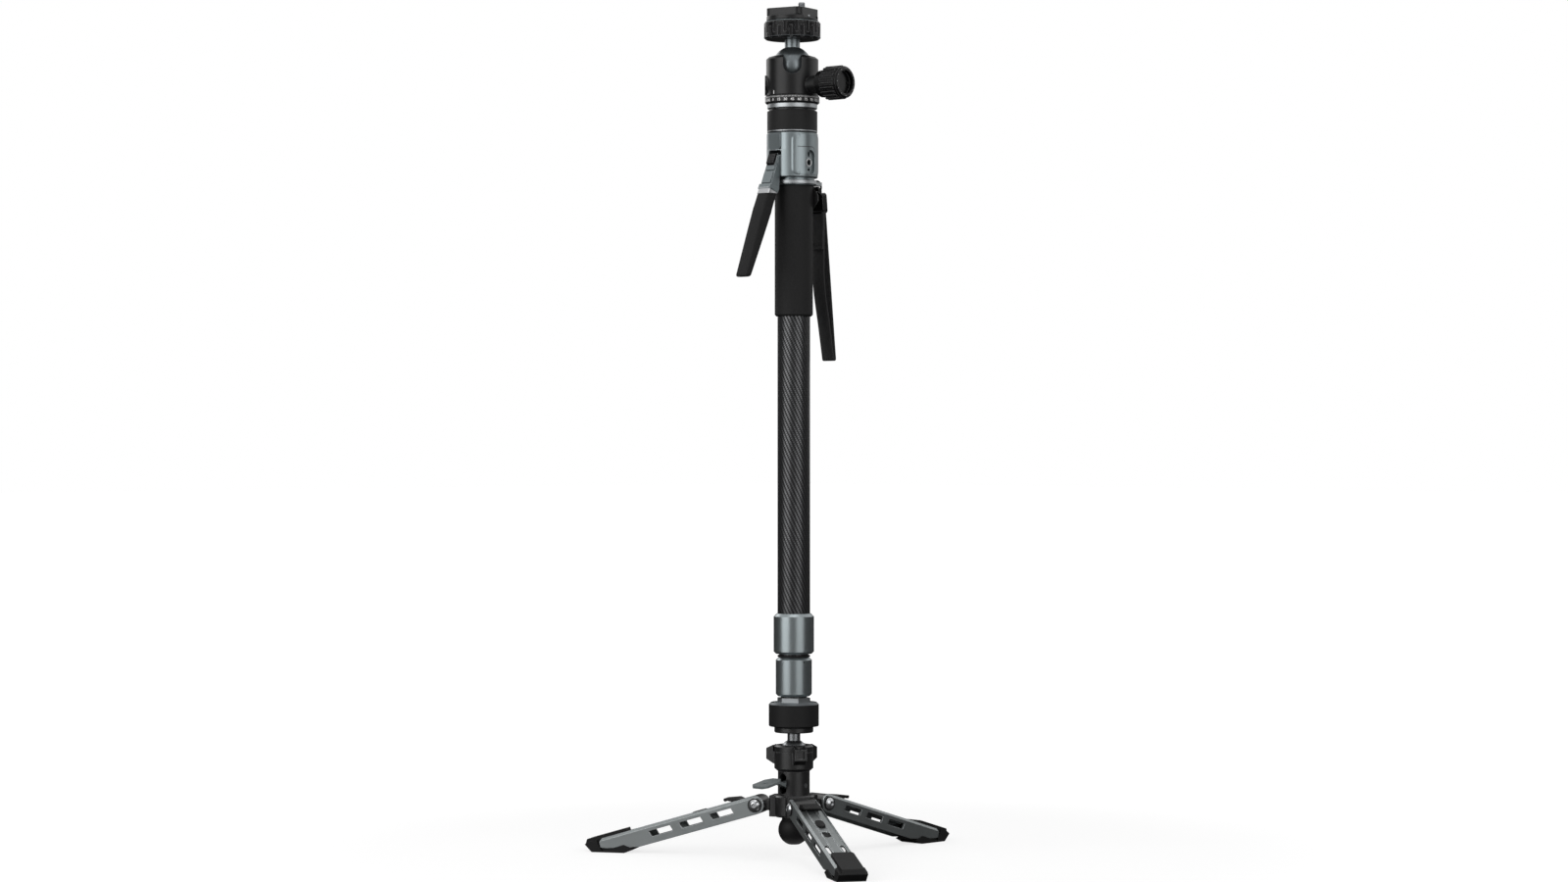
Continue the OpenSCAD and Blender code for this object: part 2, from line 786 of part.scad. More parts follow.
module channel_solid() {
    difference() {
        union() {
            for (side = SIDES)
                translate([0, side * (leg_w - leg_wall) / 2, 0]) along_y(leg_wall) channel_outline();
            translate([web_start, -leg_w / 2 + 0.5, web_low])
                cube([web_end - web_start, leg_w - 1, leg_wall]);
            for (side = SIDES)
                translate([web_start, side * 4 - 0.6, web_low])
                    cube([taper_start - web_start, 1.2, leg_wall + 0.7]);
        }
        rotate([90, 0, 0]) cylinder(r = pivot_screw_r + fit, h = far, center = true);
        translate([tab_pin_at[0], 0, tab_pin_at[1]]) rotate([90, 0, 0])
            cylinder(r = tab_pin_r + fit, h = leg_w - leg_wall, center = true);
        for (i = [0:2])
            translate([side_slot_start + i * side_slot_pitch, 0, side_slot_rise]) along_y(far) side_slot();
        for (turn = [0, 1]) mirror([0, turn, 0]) wall_chamfer();
        for (u = web_hole_at)
            translate([u, 0, 0]) linear_extrude(far) rotate([0, 0, 90]) pill(7, 13);
        for (side = SIDES)
            translate([web_slot_at, side * 7, 0]) linear_extrude(far) rotate([0, 0, 90]) pill(4, 18);
    }
}

// What is cut off the upper outer edge of the leg's wall
module wall_chamfer() {
    in_y = leg_w / 2 - chamfer_in;
    low = leg_end_r - chamfer_drop;
    translate([-leg_end_r, 0, 0]) rotate([90, 0, 90]) linear_extrude(far) polygon([
        [in_y, leg_end_r], [leg_w / 2, low], [leg_w, low], [leg_w, leg_w], [in_y, leg_w]
    ]);
}

module side_slot() {
    half_l = side_slot_len / 2;
    half_h = side_slot_h / 2;
    polygon([
        [-half_l, -half_h], [half_l - slot_slant, -half_h], [half_l, half_h], [-half_l + slot_slant, half_h]
    ]);
}

// The height above the leg's middle at which the floor meets it, u along the leg
function floor_at(u) = (-floor_drop - pivot_z + u * sin(leg_slope)) / cos(leg_slope);

module leg_boot(azimuth) {
    sole_line = [[sole_rear - heel_ramp, floor_at(sole_rear) + heel_lift], [sole_rear, floor_at(sole_rear)],
        [sole_front, floor_at(sole_front)], [boot_nose, leg_end_r - nose_drop]];
    color(RUBBER) on_leg(azimuth) difference() {
        union() {
            along_y(leg_inner_w - 0.2) polygon(concat(sole_line, [
                [flap_nose, leg_end_r], [flap_start, leg_end_r],
                [flap_start, web_low], [sole_rear - heel_ramp, web_low]
            ]));
            boot_pad();
            along_y(leg_w + 2 * flap_proud) polygon(concat(sole_line, [
                [flap_nose, leg_end_r], [flap_face, leg_end_r], [flap_face, flap_corner],
                [leg_len, -flap_edge], [flap_start, -flap_edge + 0.2]
            ]));
        }
        channel_solid();
    }
}

// The pad on the boot's upper side, with round corners at the back
module boot_pad() {
    top = leg_end_r + pad_proud;
    width = leg_inner_w - 0.2;
    length = 2 * (boot_nose - pad_start);
    intersection() {
        along_y(width) polygon([
            [boot_nose, leg_end_r - nose_drop], [pad_nose, top - pad_bevel], [pad_nose - pad_bevel, top],
            [pad_start + pad_bevel, top], [pad_start, top - pad_bevel], [pad_start, web_low], [leg_len, web_low]
        ]);
        translate([pad_start + length / 2, 0, 0]) linear_extrude(2 * top) rounded_rect(length, width, pad_corner);
    }
}

module leg_tab(azimuth) {
    tip = leg_end_r + tab_rise;
    color(BLACK) on_leg(azimuth) {
        along_y(tab_w) polygon([
            [tab_rear, tab_low], [tab_knee, tab_low], [tab_knee + 2, leg_end_r - 0.3],
            [tab_tip - 2.2, tip], [tab_tip - 1, tip - 0.9], [tab_tip, tip + 0.6], [tab_tip - 0.6, tip + 2.2],
            [tab_rear + 3.5, leg_end_r + 2.6], [tab_rear + 1, leg_end_r + 0.6], [tab_rear, leg_end_r - 0.5]
        ]);
        translate([tab_pin_at[0], 0, tab_pin_at[1]]) rotate([90, 0, 0])
            cylinder(r = tab_pin_r, h = leg_w - leg_wall - 2 * slip, center = true);
    }
}

// Mast

module mast_foot() {
    color(GREY) difference() {
        union() {
            bevelled_disc(mast_foot_r, disc_top_z + 0.2, lower_ring_top_z, 0.3, 0.8);
            translate([0, 0, lower_ring_top_z - 1]) cylinder(r = tube_3_in_r - fit, h = spigot_h + 1);
        }
        translate([0, 0, disc_z]) cylinder(r = stem_r + fit, h = disc_h + spigot_h + 0.5);
    }
}

module mast_nut() {
    color(SILVER) difference() {
        translate([0, 0, lower_ring_top_z]) rotate(30) cylinder(r = nut_r, h = nut_h, $fn = 6);
        translate([0, 0, lower_ring_top_z - 1]) cylinder(r = tube_3_r + fit, h = nut_h + 2);
    }
}

module lower_lock_ring() {
    color(BLACK) bevelled_ring(lock_ring_r, lock_ring_r - lock_wall, lower_ring_z,
        lower_ring_top_z, 0.6, 2);
}

module tube_3() {
    color(CARBON) tube(tube_3_r, tube_3_in_r, lower_ring_top_z, clutch_3_z);
}

module clutch(r, stub_r, low) {
    difference() {
        union() {
            bevelled_disc(r, low, low + clutch_h, 0.1, 1);
            translate([0, 0, low - clutch_stub_h]) cylinder(r = stub_r, h = clutch_stub_h + 1);
        }
        translate([0, 0, low - clutch_stub_h - 1])
            cylinder(r = rod_pass_r, h = clutch_h + clutch_stub_h + 2);
    }
}

module clutch_lower() {
    color(NYLON) clutch(tube_2_in_r - slip, tube_3_in_r - fit, clutch_3_z);
}

module tube_2() {
    color(CARBON) tube(tube_2_r, tube_2_in_r, collar_2_z + collar_lip_h, clutch_2_z);
}

module clutch_upper() {
    color(NYLON) clutch(tube_1_in_r - slip, tube_2_in_r - fit, clutch_2_z);
}

// A collar holds the tube above in its bore, and the tube below slides through its lip
module collar(r, bore_r, lip_r, low, high) {
    color(GREY) difference() {
        bevelled_disc(r, low, high, 2, 2.7);
        translate([0, 0, low + collar_lip_h]) cylinder(r = bore_r, h = high - low);
        translate([0, 0, low - 1]) cylinder(r = lip_r, h = high - low);
    }
}

module collar_2() {
    collar(collar_2_r, tube_2_r + fit, tube_3_r + slip, collar_2_z, collar_2_top_z);
}

module tube_1() {
    color(CARBON) tube(tube_1_r, tube_1_in_r, collar_1_z + collar_lip_h, tube_1_top_z);
}

module collar_1() {
    collar(collar_1_r, tube_1_r + fit, tube_2_r + slip, collar_1_z, collar_1_top_z);
}

module release_rod() {
    color(STEEL) {
        translate([0, 0, rod_bottom_z]) cylinder(r = rod_r, h = flange_z + flange_h - rod_bottom_z);
        translate([0, 0, flange_z]) cylinder(r = flange_r, h = flange_h);
    }
}

// Handle

module grip() {
    color(RUBBER) difference() {
        union() {
            bevelled_disc(grip_r, grip_z, grip_top_z, 1.5, 1);
            intersection() {
                rotate_extrude() polygon([
                    [0, grip_top_z - 22.5], [grip_r - 0.5, grip_top_z - 22.5],
                    [hand_stop_reach, grip_top_z - 14.5],
                    [hand_stop_reach, grip_top_z - 9], [grip_r - 1, grip_top_z - 0.3], [0, grip_top_z - 0.3]
                ]);
                translate([-far / 2, 11, 0]) cube([far, far, 2 * far]);
            }
        }
        translate([0, 0, grip_z - 1]) cylinder(r = tube_1_r + fit, h = grip_h + 2);
    }
}

module strap_ring() {
    color(SILVER) difference() {
        union() {
            bevelled_disc(strap_ring_r, strap_ring_z, strap_ring_z + strap_ring_h, 0.5, 0.5);
            rotate([0, 0, STRAP_AZIMUTH]) translate([lug_reach - 5, 0, swing_z])
                cube([10, lug_w, lug_t], center = true);
        }
        translate([0, 0, strap_ring_z - 1]) cylinder(r = neck_sleeve_r + fit, h = strap_ring_h + 2);
        rotate([0, 0, STRAP_AZIMUTH]) translate([lug_reach - lug_wall - lug_hole_r, 0, swing_z])
            cylinder(r = lug_hole_r, h = strap_ring_h + 2, center = true);
    }
}

module strap_loop() {
    color(BLACK) on_strap() translate([0, 0, -loop_drop]) rotate([90, 0, 0])
        rotate_extrude() translate([loop_r, 0]) circle(r = loop_wire_r);
}

module strap_slider() {
    eye_z = -loop_drop - loop_r + 0.3;
    color(BLACK) on_strap() difference() {
        union() {
            translate([(slider_in + slider_out) / 2, 0, (slider_top + slider_low) / 2]) rotate([90, 0, 90])
                linear_extrude(slider_out - slider_in, center = true)
                    rounded_rect(slider_w, slider_top - slider_low, 3);
            translate([slider_in, -4, slider_top - 3]) cube([4, 8, slider_neck_top - slider_top + 3]);
        }
        translate([0, 0, eye_z]) rotate([0, 90, 0]) cylinder(r = eye_r, h = far, center = true);
        translate([webbing_out - 2 * strap_t - 0.1, -strap_w / 2 - 0.1, slider_low - 1])
            cube([2 * strap_t + 0.2, strap_w + 0.2, webbing_top - slider_low + 1]);
    }
}

// A point of the webbing's inner layer, t of the way down, bowed in from the straight outer layer
function bowed(t, bow, out) =
    [webbing_out - out - bow * webbing_bow, webbing_top + t * (-strap_drop - webbing_top)];

module strap_webbing() {
    two = 2 * strap_t;
    color(BLACK) on_strap() along_y(strap_w) difference() {
        polygon([
            [webbing_out, webbing_top], [webbing_out, -strap_drop + 1.2], [webbing_out - 0.6, -strap_drop],
            bowed(1, 0.05, two), bowed(0.985, 0.15, two), bowed(0.77, 0.5, two), bowed(0.56, 1, two),
            bowed(0.46, 1, two), bowed(0.26, 0.6, two), bowed(0.04, 0, two), bowed(0, 0, two)
        ]);
        polygon([
            [webbing_out - strap_t, webbing_top - 7], bowed(0.98, 0, strap_t), bowed(0.98, 0.12, strap_t),
            bowed(0.77, 0.5, strap_t), bowed(0.555, 1, strap_t),
            bowed(0.46, 1, strap_t), bowed(0.26, 0.6, strap_t)
        ]);
    }
}

module handle_block() {
    color(GREY) difference() {
        union() {
            difference() {
                on_head_axis() bevelled_disc(block_r, block_z, block_top_z, 0.8, 0.8);
                front_flats();
                cover_pocket(cover_t, 0);
            }
            translate([0, 0, grip_top_z]) cylinder(r = neck_sleeve_r, h = block_z - grip_top_z + 1);
        }
        translate([0, 0, grip_top_z - 1]) cylinder(r = tube_1_r + fit, h = tube_1_top_z - grip_top_z + 1);
        translate([0, 0, block_z + 2]) cylinder(r = cavity_r, h = cavity_top_z - block_z - 2);
        lever_slot();
        on_head_axis() translate([0, 0, block_top_z - head_stub_h])
            cylinder(r = head_stub_r + fit, h = head_stub_h + 1);
        translate([0, lever_pin_y, lever_pin_z]) rotate([0, 90, 0])
            cylinder(r = lever_pin_r + fit, h = pin_len + 0.4, center = true);
        accessory_recess();
    }
}

module front_flats() {
    on_head_axis() for (side = SIDES)
        rotate([0, 0, 270 + side * facet_turn]) translate([block_r - facet_in, -far / 2, panel_z])
            cube(far);
    translate([-far / 2, panel_y - far, panel_z]) cube(far);
}

module lever_slot() {
    deep_z = tube_1_top_z + 1.5;
    translate([-slot_w / 2, -far, block_z - 1])
        cube([slot_w, far - tube_1_r - 1.2, slot_top_z - block_z + 1]);
    translate([-slot_w / 2, -far, deep_z]) cube([slot_w, far, slot_top_z - deep_z]);
}

// The cover's outline, seen from the side
module cover_outline(inset) {
    translate([-head_offset, cover_mid_z])
        rounded_rect(2 * (cover_half_w - inset), 2 * (cover_half_h - inset), cover_corner_r - inset);
}

module cover_pocket(depth, inset) {
    difference() {
        translate([block_r, 0, 0]) along_x(block_r) cover_outline(inset);
        on_head_axis() translate([0, 0, block_z - 1]) cylinder(r = block_r - depth, h = block_h + 2);
    }
}

module accessory_recess() {
    translate([pill_floor, accessory_y, accessory_z]) rotate([90, 0, 90]) linear_extrude(far)
        pill(pill_w, pill_h);
    translate([0, accessory_y, accessory_z]) rotate([0, 90, 0]) cylinder(r = accessory_hole_r, h = far);
    for (side = SIDES)
        translate([pill_floor - 3, accessory_y, accessory_z + side * locator_at]) rotate([90, 0, 90])
            linear_extrude(far) pill(locator_w, locator_h);
}

module side_cover() {
    color(GREY) difference() {
        intersection() {
            cover_pocket(cover_t - fit, 0.1);
            on_head_axis() bevelled_disc(block_r + 0.3, block_z, block_top_z, 0.8, 0.8);
        }
        translate([0, accessory_y, accessory_z]) rotate([90, 0, 90]) linear_extrude(far)
            pill(pill_w, pill_h);
    }
}

module label_panel() {
    low = panel_z + 0.1;
    high = block_top_z - 1.2;
    color(GREY) translate([0, panel_y - panel_t / 2, 0]) rotate([90, 0, 0])
        linear_extrude(panel_t, center = true)
        polygon([
            [-panel_w / 2 + 2, low], [panel_w / 2 - 2, low], [panel_w / 2, low + 2],
            [panel_w / 2, high], [-panel_w / 2, high], [-panel_w / 2, low + 2]
        ]);
}

module lever_pin() {
    color(STEEL) translate([0, lever_pin_y, lever_pin_z]) rotate([0, 90, 0])
        cylinder(r = lever_pin_r, h = pin_len, center = true);
}

module lever_spring() {
    low = flange_z + flange_h + 0.1;
    color(STEEL) translate([0, 0, low]) coil_spring(flange_r - 1.5, 0.5, 5, cavity_top_z - low - 0.1);
}

module lever_arm() {
    color(GREY) difference() {
        union() {
            translate([0, lever_pin_y, lever_pin_z]) rotate([0, 90, 0])
                cylinder(r = lever_head_r, h = sleeve_w, center = true);
            translate([-nose_w / 2, lever_pin_y, lever_pin_z - nose_half_h])
                cube([nose_w, nose_y - lever_pin_y, 2 * nose_half_h]);
            on_lever() lever_shank();
        }
        translate([0, lever_pin_y, lever_pin_z]) rotate([0, 90, 0])
            cylinder(r = lever_pin_r + fit, h = far, center = true);
        translate([0, -far / 2, lever_pin_z]) rod_fork();
    }
}

// The slot in the lever's nose that the release rod passes through
module rod_fork() {
    translate([-rod_pass_r - 0.5, far / 2 - rod_pass_r - 1, -10]) cube([2 * rod_pass_r + 1, 20, 20]);
}

module lever_shank() {
    knee = sleeve_start - 7;
    band = sleeve_start - 5;
    shank_end = sleeve_start - 2;
    top = sleeve_top_t / 2;
    along_y(shank_w) polygon([
        [0, -arm_in], [knee - 7, -arm_in], [knee, -top + sleeve_mid - 0.4], [shank_end, -top + sleeve_mid],
        [shank_end, arm_out], [0, arm_out]
    ]);
    along_y(sleeve_w + 0.8) polygon([
        [band, -top + sleeve_mid - 0.5], [sleeve_start, -top + sleeve_mid],
        [sleeve_start, top + sleeve_mid], [band, top + sleeve_mid - 0.3]
    ]);
    translate([latch_start, -latch_w / 2, 0]) cube([latch_len + 4.5, latch_w, latch_seat]);
    translate([band - 11.5, -sleeve_w / 2 + 1.5, 0]) cube([10.5, sleeve_w - 3, arm_out + 1.3]);
    lever_core();
}

// The flat core that the sleeve is moulded on
module lever_core() {
    along_y(core_w) polygon([
        [sleeve_start - 1, -1.6], [lever_len - 4, -0.4], [lever_len - 4, 2.5], [sleeve_start - 1, 3.7]
    ]);
}

module lever_sleeve() {
    top = sleeve_top_t / 2;
    tip = sleeve_tip_t / 2;
    half = (top + tip) / 2 + 0.25;
    middle = (sleeve_start + lever_len) / 2;
    color(RUBBER) on_lever() difference() {
        along_y(sleeve_w) polygon([
            [sleeve_start, sleeve_mid - top], [middle, sleeve_mid - half],
            [lever_len - 1.5, sleeve_mid - tip], [lever_len, sleeve_mid - tip + 1],
            [lever_len, sleeve_mid + tip - 1], [lever_len - 1, sleeve_mid + tip],
            [middle, sleeve_mid + half], [sleeve_start, sleeve_mid + top]
        ]);
        lever_core();
    }
}

module lever_latch() {
    color(BLACK) on_lever() translate([latch_start, 0, latch_seat]) {
        rotate([90, 0, 0]) linear_extrude(latch_w - 1, center = true)
            polygon([[0, 0], [latch_len, 0], [latch_len - 1.5, latch_t], [1.5, latch_t]]);
        for (i = [0:3])
            translate([2.5 + i * 2, -latch_w / 2 + 1, latch_t - 0.2]) cube([1, latch_w - 2, 0.7]);
    }
}

module upper_lock_ring() {
    color(BLACK) on_head_axis()
        bevelled_ring(lock_ring_r, lock_ring_r - lock_wall, upper_ring_z,
            upper_ring_z + upper_ring_h, 0.6, 0.6);
}

module head_mount() {
    color(GREY) on_head_axis() {
        translate([0, 0, block_top_z]) cylinder(r = mount_r, h = mount_flange_z - block_top_z);
        translate([0, 0, mount_flange_z]) cylinder(r = mount_flange_r, h = pan_z - mount_flange_z);
        translate([0, 0, block_top_z - head_stub_h + 0.2]) cylinder(r = head_stub_r, h = head_stub_h);
        translate([0, 0, pan_z - 1]) cylinder(r = stud_r, h = stud_h + 1);
    }
}

// Ball head

module pan_base() {
    color(SILVER) on_head_axis() difference() {
        union() {
            bevelled_disc(pan_base_r, pan_z, scale_z, 0.5, 0.5);
            translate([0, 0, pan_z]) cylinder(r = spindle_r, h = head_z + spindle_h - pan_z);
        }
        translate([0, 0, pan_z - 1]) cylinder(r = stud_r + fit, h = stud_h + 1.5);
    }
}

module pan_scale_ring() {
    color(BLACK) on_head_axis() difference() {
        bevelled_disc(scale_ring_r, scale_z, scale_z + scale_ring_h, 1.2, 0.5);
        translate([0, 0, scale_z - 1]) cylinder(r = spindle_r + fit, h = scale_ring_h + 2);
    }
}

module head_housing() {
    color(BLACK) on_head_axis() difference() {
        union() {
            rotate_extrude() polygon([
                [0, head_z], [head_r - 0.4, head_z], [head_r, head_z + 0.4],
                [head_r, head_top_z - shoulder_drop],
                [head_r - 2.4, head_top_z - 1.4], [rim_r + 0.8, head_top_z], [0, head_top_z]
            ]);
            translate([0, 0, knob_z]) rotate([0, 90, KNOB_AZIMUTH])
                cylinder(r = knob_boss_r, h = knob_boss_reach);
            translate([0, 0, head_z + pad_boss_r + 0.6]) rotate([0, 90, BOSS_AZIMUTH])
                cylinder(r = pad_boss_r, h = pad_boss_reach);
        }
        translate([0, 0, head_z - 1]) cylinder(r = spindle_r + fit, h = spindle_h + 2);
        translate([0, 0, head_seat_z]) cylinder(r = seat_r + 0.1, h = head_ball_z - head_seat_z);
        translate([0, 0, head_ball_z]) sphere(r = head_ball_r + slip);
        translate([0, 0, knob_z]) rotate([0, 90, KNOB_AZIMUTH]) translate([0, 0, seat_r - 0.2])
            cylinder(r = knob_shaft_r + fit, h = far);
        drop_notch();
    }
}

module drop_notch() {
    low = head_ball_z - 0.8;
    rotate([0, 0, NOTCH_AZIMUTH]) {
        translate([neck_r, 0, low]) rotate([0, 90, 0]) cylinder(r = notch_w / 2, h = far);
        translate([neck_r, -notch_w / 2, low]) cube([far, notch_w, head_top_z - low + 1]);
    }
}

module head_seat() {
    color(NYLON) on_head_axis() difference() {
        translate([0, 0, head_seat_z]) cylinder(r = seat_r, h = head_seat_h);
        translate([0, 0, head_ball_z]) sphere(r = head_ball_r + fit);
        translate([0, 0, head_seat_z - 1]) cylinder(r = 6, h = head_seat_h + 2);
    }
}

module lock_knob() {
    body = knob_start + knob_collar_len;
    color(RUBBER) on_knob_axis() difference() {
        union() {
            bevelled_disc(knob_collar_r, knob_start, body + 2, 1.5, 0.1);
            bevelled_disc(knob_body_r, body, knob_reach, 1.5, 1.5);
            for (i = [0:knob_ribs - 1])
                rotate([0, 0, i * 360 / knob_ribs]) translate([knob_body_r - 2, -rib_w / 2, body + 1])
                    cube([knob_r - knob_body_r + 2, rib_w, knob_reach - body - 5]);
            translate([0, 0, seat_r + 0.5]) cylinder(r = knob_shaft_r, h = knob_start - seat_r);
        }
        translate([0, 0, knob_reach - dish_depth]) cylinder(r = dish_r, h = dish_depth + 1);
        translate([0, dish_r * 0.6, knob_reach - dish_depth - 3]) cylinder(r = 1.5, h = 4);
    }
}

module head_ball() {
    color(STEEL) on_head_axis() {
        translate([0, 0, head_ball_z]) sphere(r = head_ball_r);
        translate([0, 0, head_ball_z]) cylinder(r = neck_r, h = neck_len);
        translate([0, 0, clamp_z - 1]) cylinder(r = ball_spigot_r, h = ball_spigot_h + 1);
    }
}

// A dovetail along X with its wide side down, from z = 0 up
module dovetail(length, widen) {
    low = dovetail_low_w / 2 + widen;
    top = dovetail_top_w / 2 + widen;
    along_x(length) polygon([
        [-low, 0], [low, 0], [top, dovetail_h], [top, dovetail_h + widen],
        [-top, dovetail_h + widen], [-top, dovetail_h]
    ]);
}

module clamp_base() {
    color(BLACK) on_head_axis() difference() {
        union() {
            translate([0, 0, clamp_z]) cylinder(r = clamp_hub_r, h = jaw_z - clamp_z + 1);
            bevelled_disc(clamp_base_r, jaw_z, plate_z, 0.8, 0.8);
            rotate([0, 0, PLATE_AZIMUTH + 180]) translate([0, 0, jaw_z + jaw_h / 2]) rotate([0, 90, 0])
                cylinder(r = 1.1, h = clamp_base_r + 1.5);
        }
        translate([0, 0, clamp_z - 1]) cylinder(r = ball_spigot_r + fit, h = ball_spigot_h + 1.5);
        rotate([0, 0, PLATE_AZIMUTH]) translate([0, 0, plate_z - dovetail_h - slip]) dovetail(far, slip);
        rotate([0, 0, PLATE_AZIMUTH]) translate([-far / 2, -dovetail_top_w / 2 - slip, plate_z - slip])
            cube([far, dovetail_top_w + 2 * slip, 1]);
    }
}

module clamp_ring() {
    color(BLACK) on_head_axis() difference() {
        bevelled_ring(clamp_ring_r, clamp_hub_r + slip, clamp_z, clamp_z + clamp_ring_h, 1.5, 1.5);
        for (i = [0:clamp_grooves - 1])
            rotate([0, 0, i * 360 / clamp_grooves])
                translate([clamp_ring_r + 0.5, 0, clamp_z - 1 + (i % 2) * 6])
                cylinder(r = groove_r, h = clamp_ring_h - 4);
    }
}

module quick_plate() {
    color(BLACK) on_head_axis() rotate([0, 0, PLATE_AZIMUTH]) difference() {
        union() {
            translate([0, 0, plate_z]) linear_extrude(plate_h)
                rounded_rect(plate_side, plate_side, plate_corner_r);
            translate([0, 0, plate_z - dovetail_h]) dovetail(plate_side, 0);
        }
        translate([screw_offset, 0, plate_z - dovetail_h - 1])
            cylinder(r = screw_head_r + slip, h = counterbore_top_z - plate_z + dovetail_h + 1);
        translate([screw_offset, 0, plate_z]) cylinder(r = screw_r + fit, h = plate_h + 1);
    }
}

module camera_screw() {
    color(STEEL) on_head_axis() rotate([0, 0, PLATE_AZIMUTH]) translate([screw_offset, 0, 0]) {
        // threaded end above the plate, on a thinner shank that keeps the screw captive
        translate([0, 0, plate_top_z]) cylinder(r = screw_r, h = screw_show - screw_tip);
        translate([0, 0, plate_top_z + screw_show - screw_tip])
            cylinder(r1 = screw_r, r2 = screw_r - screw_tip, h = screw_tip);
        translate([0, 0, screw_head_z + 2]) cylinder(r = screw_neck_r, h = plate_top_z - screw_head_z - 1);
        translate([0, 0, screw_head_z]) difference() {
            cylinder(r = screw_head_r, h = screw_head_h);
            cube([far, 1.6, 2], center = true);
        }
    }
}

hub();
leg_pivot_screws();
pivot_washers();
centre_foot();
column();
pedal();
pedal_pin();
ball_housing();
ball_cap();
ball_seat();
brake_plunger();
plunger_spring();
base_ball();
swivel_disc();
leg_channel(LEG_AZIMUTHS[0]);  // leg_1_channel
leg_boot(LEG_AZIMUTHS[0]);  // leg_1_boot
leg_tab(LEG_AZIMUTHS[0]);  // leg_1_tab
leg_channel(LEG_AZIMUTHS[1]);  // leg_2_channel
leg_boot(LEG_AZIMUTHS[1]);  // leg_2_boot
leg_tab(LEG_AZIMUTHS[1]);  // leg_2_tab
leg_channel(LEG_AZIMUTHS[2]);  // leg_3_channel
leg_boot(LEG_AZIMUTHS[2]);  // leg_3_boot
leg_tab(LEG_AZIMUTHS[2]);  // leg_3_tab
mast_foot();
mast_nut();
lower_lock_ring();
tube_3();
clutch_lower();
tube_2();
collar_2();
clutch_upper();
tube_1();
collar_1();
grip();
strap_ring();
strap_loop();
strap_slider();
strap_webbing();
handle_block();
label_panel();
side_cover();
lever_pin();
lever_spring();
release_rod();
lever_arm();
lever_sleeve();
lever_latch();
upper_lock_ring();
head_mount();
pan_base();
pan_scale_ring();
head_housing();
head_seat();
lock_knob();
head_ball();
clamp_base();
clamp_ring();
quick_plate();
camera_screw();
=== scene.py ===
"""Camera monopod: finishes, fine detail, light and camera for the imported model.

Everything is in metres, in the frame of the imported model: the tube axis is Z, the lever and the
pedal face -Y, and the strap hangs on the +Y side.
"""
import json
import math

import bmesh
import bpy
from mathutils import Matrix, Vector


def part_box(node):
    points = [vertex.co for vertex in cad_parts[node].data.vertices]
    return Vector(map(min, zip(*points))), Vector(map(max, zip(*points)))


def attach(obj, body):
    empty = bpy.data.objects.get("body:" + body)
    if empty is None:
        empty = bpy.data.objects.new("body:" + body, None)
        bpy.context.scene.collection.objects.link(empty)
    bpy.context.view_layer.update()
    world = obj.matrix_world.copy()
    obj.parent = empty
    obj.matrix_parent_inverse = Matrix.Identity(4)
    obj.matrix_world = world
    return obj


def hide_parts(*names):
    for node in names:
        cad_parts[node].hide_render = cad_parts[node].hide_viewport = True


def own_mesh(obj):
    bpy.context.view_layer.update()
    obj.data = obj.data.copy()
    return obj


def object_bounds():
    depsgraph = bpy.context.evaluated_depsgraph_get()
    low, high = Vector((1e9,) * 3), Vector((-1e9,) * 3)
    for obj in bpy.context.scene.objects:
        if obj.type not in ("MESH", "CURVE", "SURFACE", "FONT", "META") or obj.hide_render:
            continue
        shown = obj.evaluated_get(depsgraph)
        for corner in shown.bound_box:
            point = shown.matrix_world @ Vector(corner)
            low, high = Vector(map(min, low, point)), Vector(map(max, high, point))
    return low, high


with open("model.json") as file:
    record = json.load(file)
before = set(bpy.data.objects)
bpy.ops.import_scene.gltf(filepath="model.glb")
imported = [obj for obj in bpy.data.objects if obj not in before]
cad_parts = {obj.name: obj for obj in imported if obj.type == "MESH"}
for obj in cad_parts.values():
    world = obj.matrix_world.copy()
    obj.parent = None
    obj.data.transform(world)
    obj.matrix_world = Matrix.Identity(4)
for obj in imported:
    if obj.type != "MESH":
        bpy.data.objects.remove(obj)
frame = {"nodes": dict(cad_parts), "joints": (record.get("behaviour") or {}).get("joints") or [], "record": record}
CAD_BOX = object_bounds()
NODES = frame["nodes"]
MM = 0.001

# Tones of the finishes, as linear colours
JET = (0.012, 0.012, 0.013)
SOOT = (0.02, 0.02, 0.021)
SLATE = (0.185, 0.212, 0.22)
SLATE_DARK = (0.07, 0.078, 0.083)
SLATE_LIGHT = (0.27, 0.303, 0.313)
BRIGHT = (0.32, 0.335, 0.345)
STEEL = (0.29, 0.3, 0.31)
IVORY = (0.62, 0.6, 0.54)
PAINT_WHITE = (0.8, 0.8, 0.8)


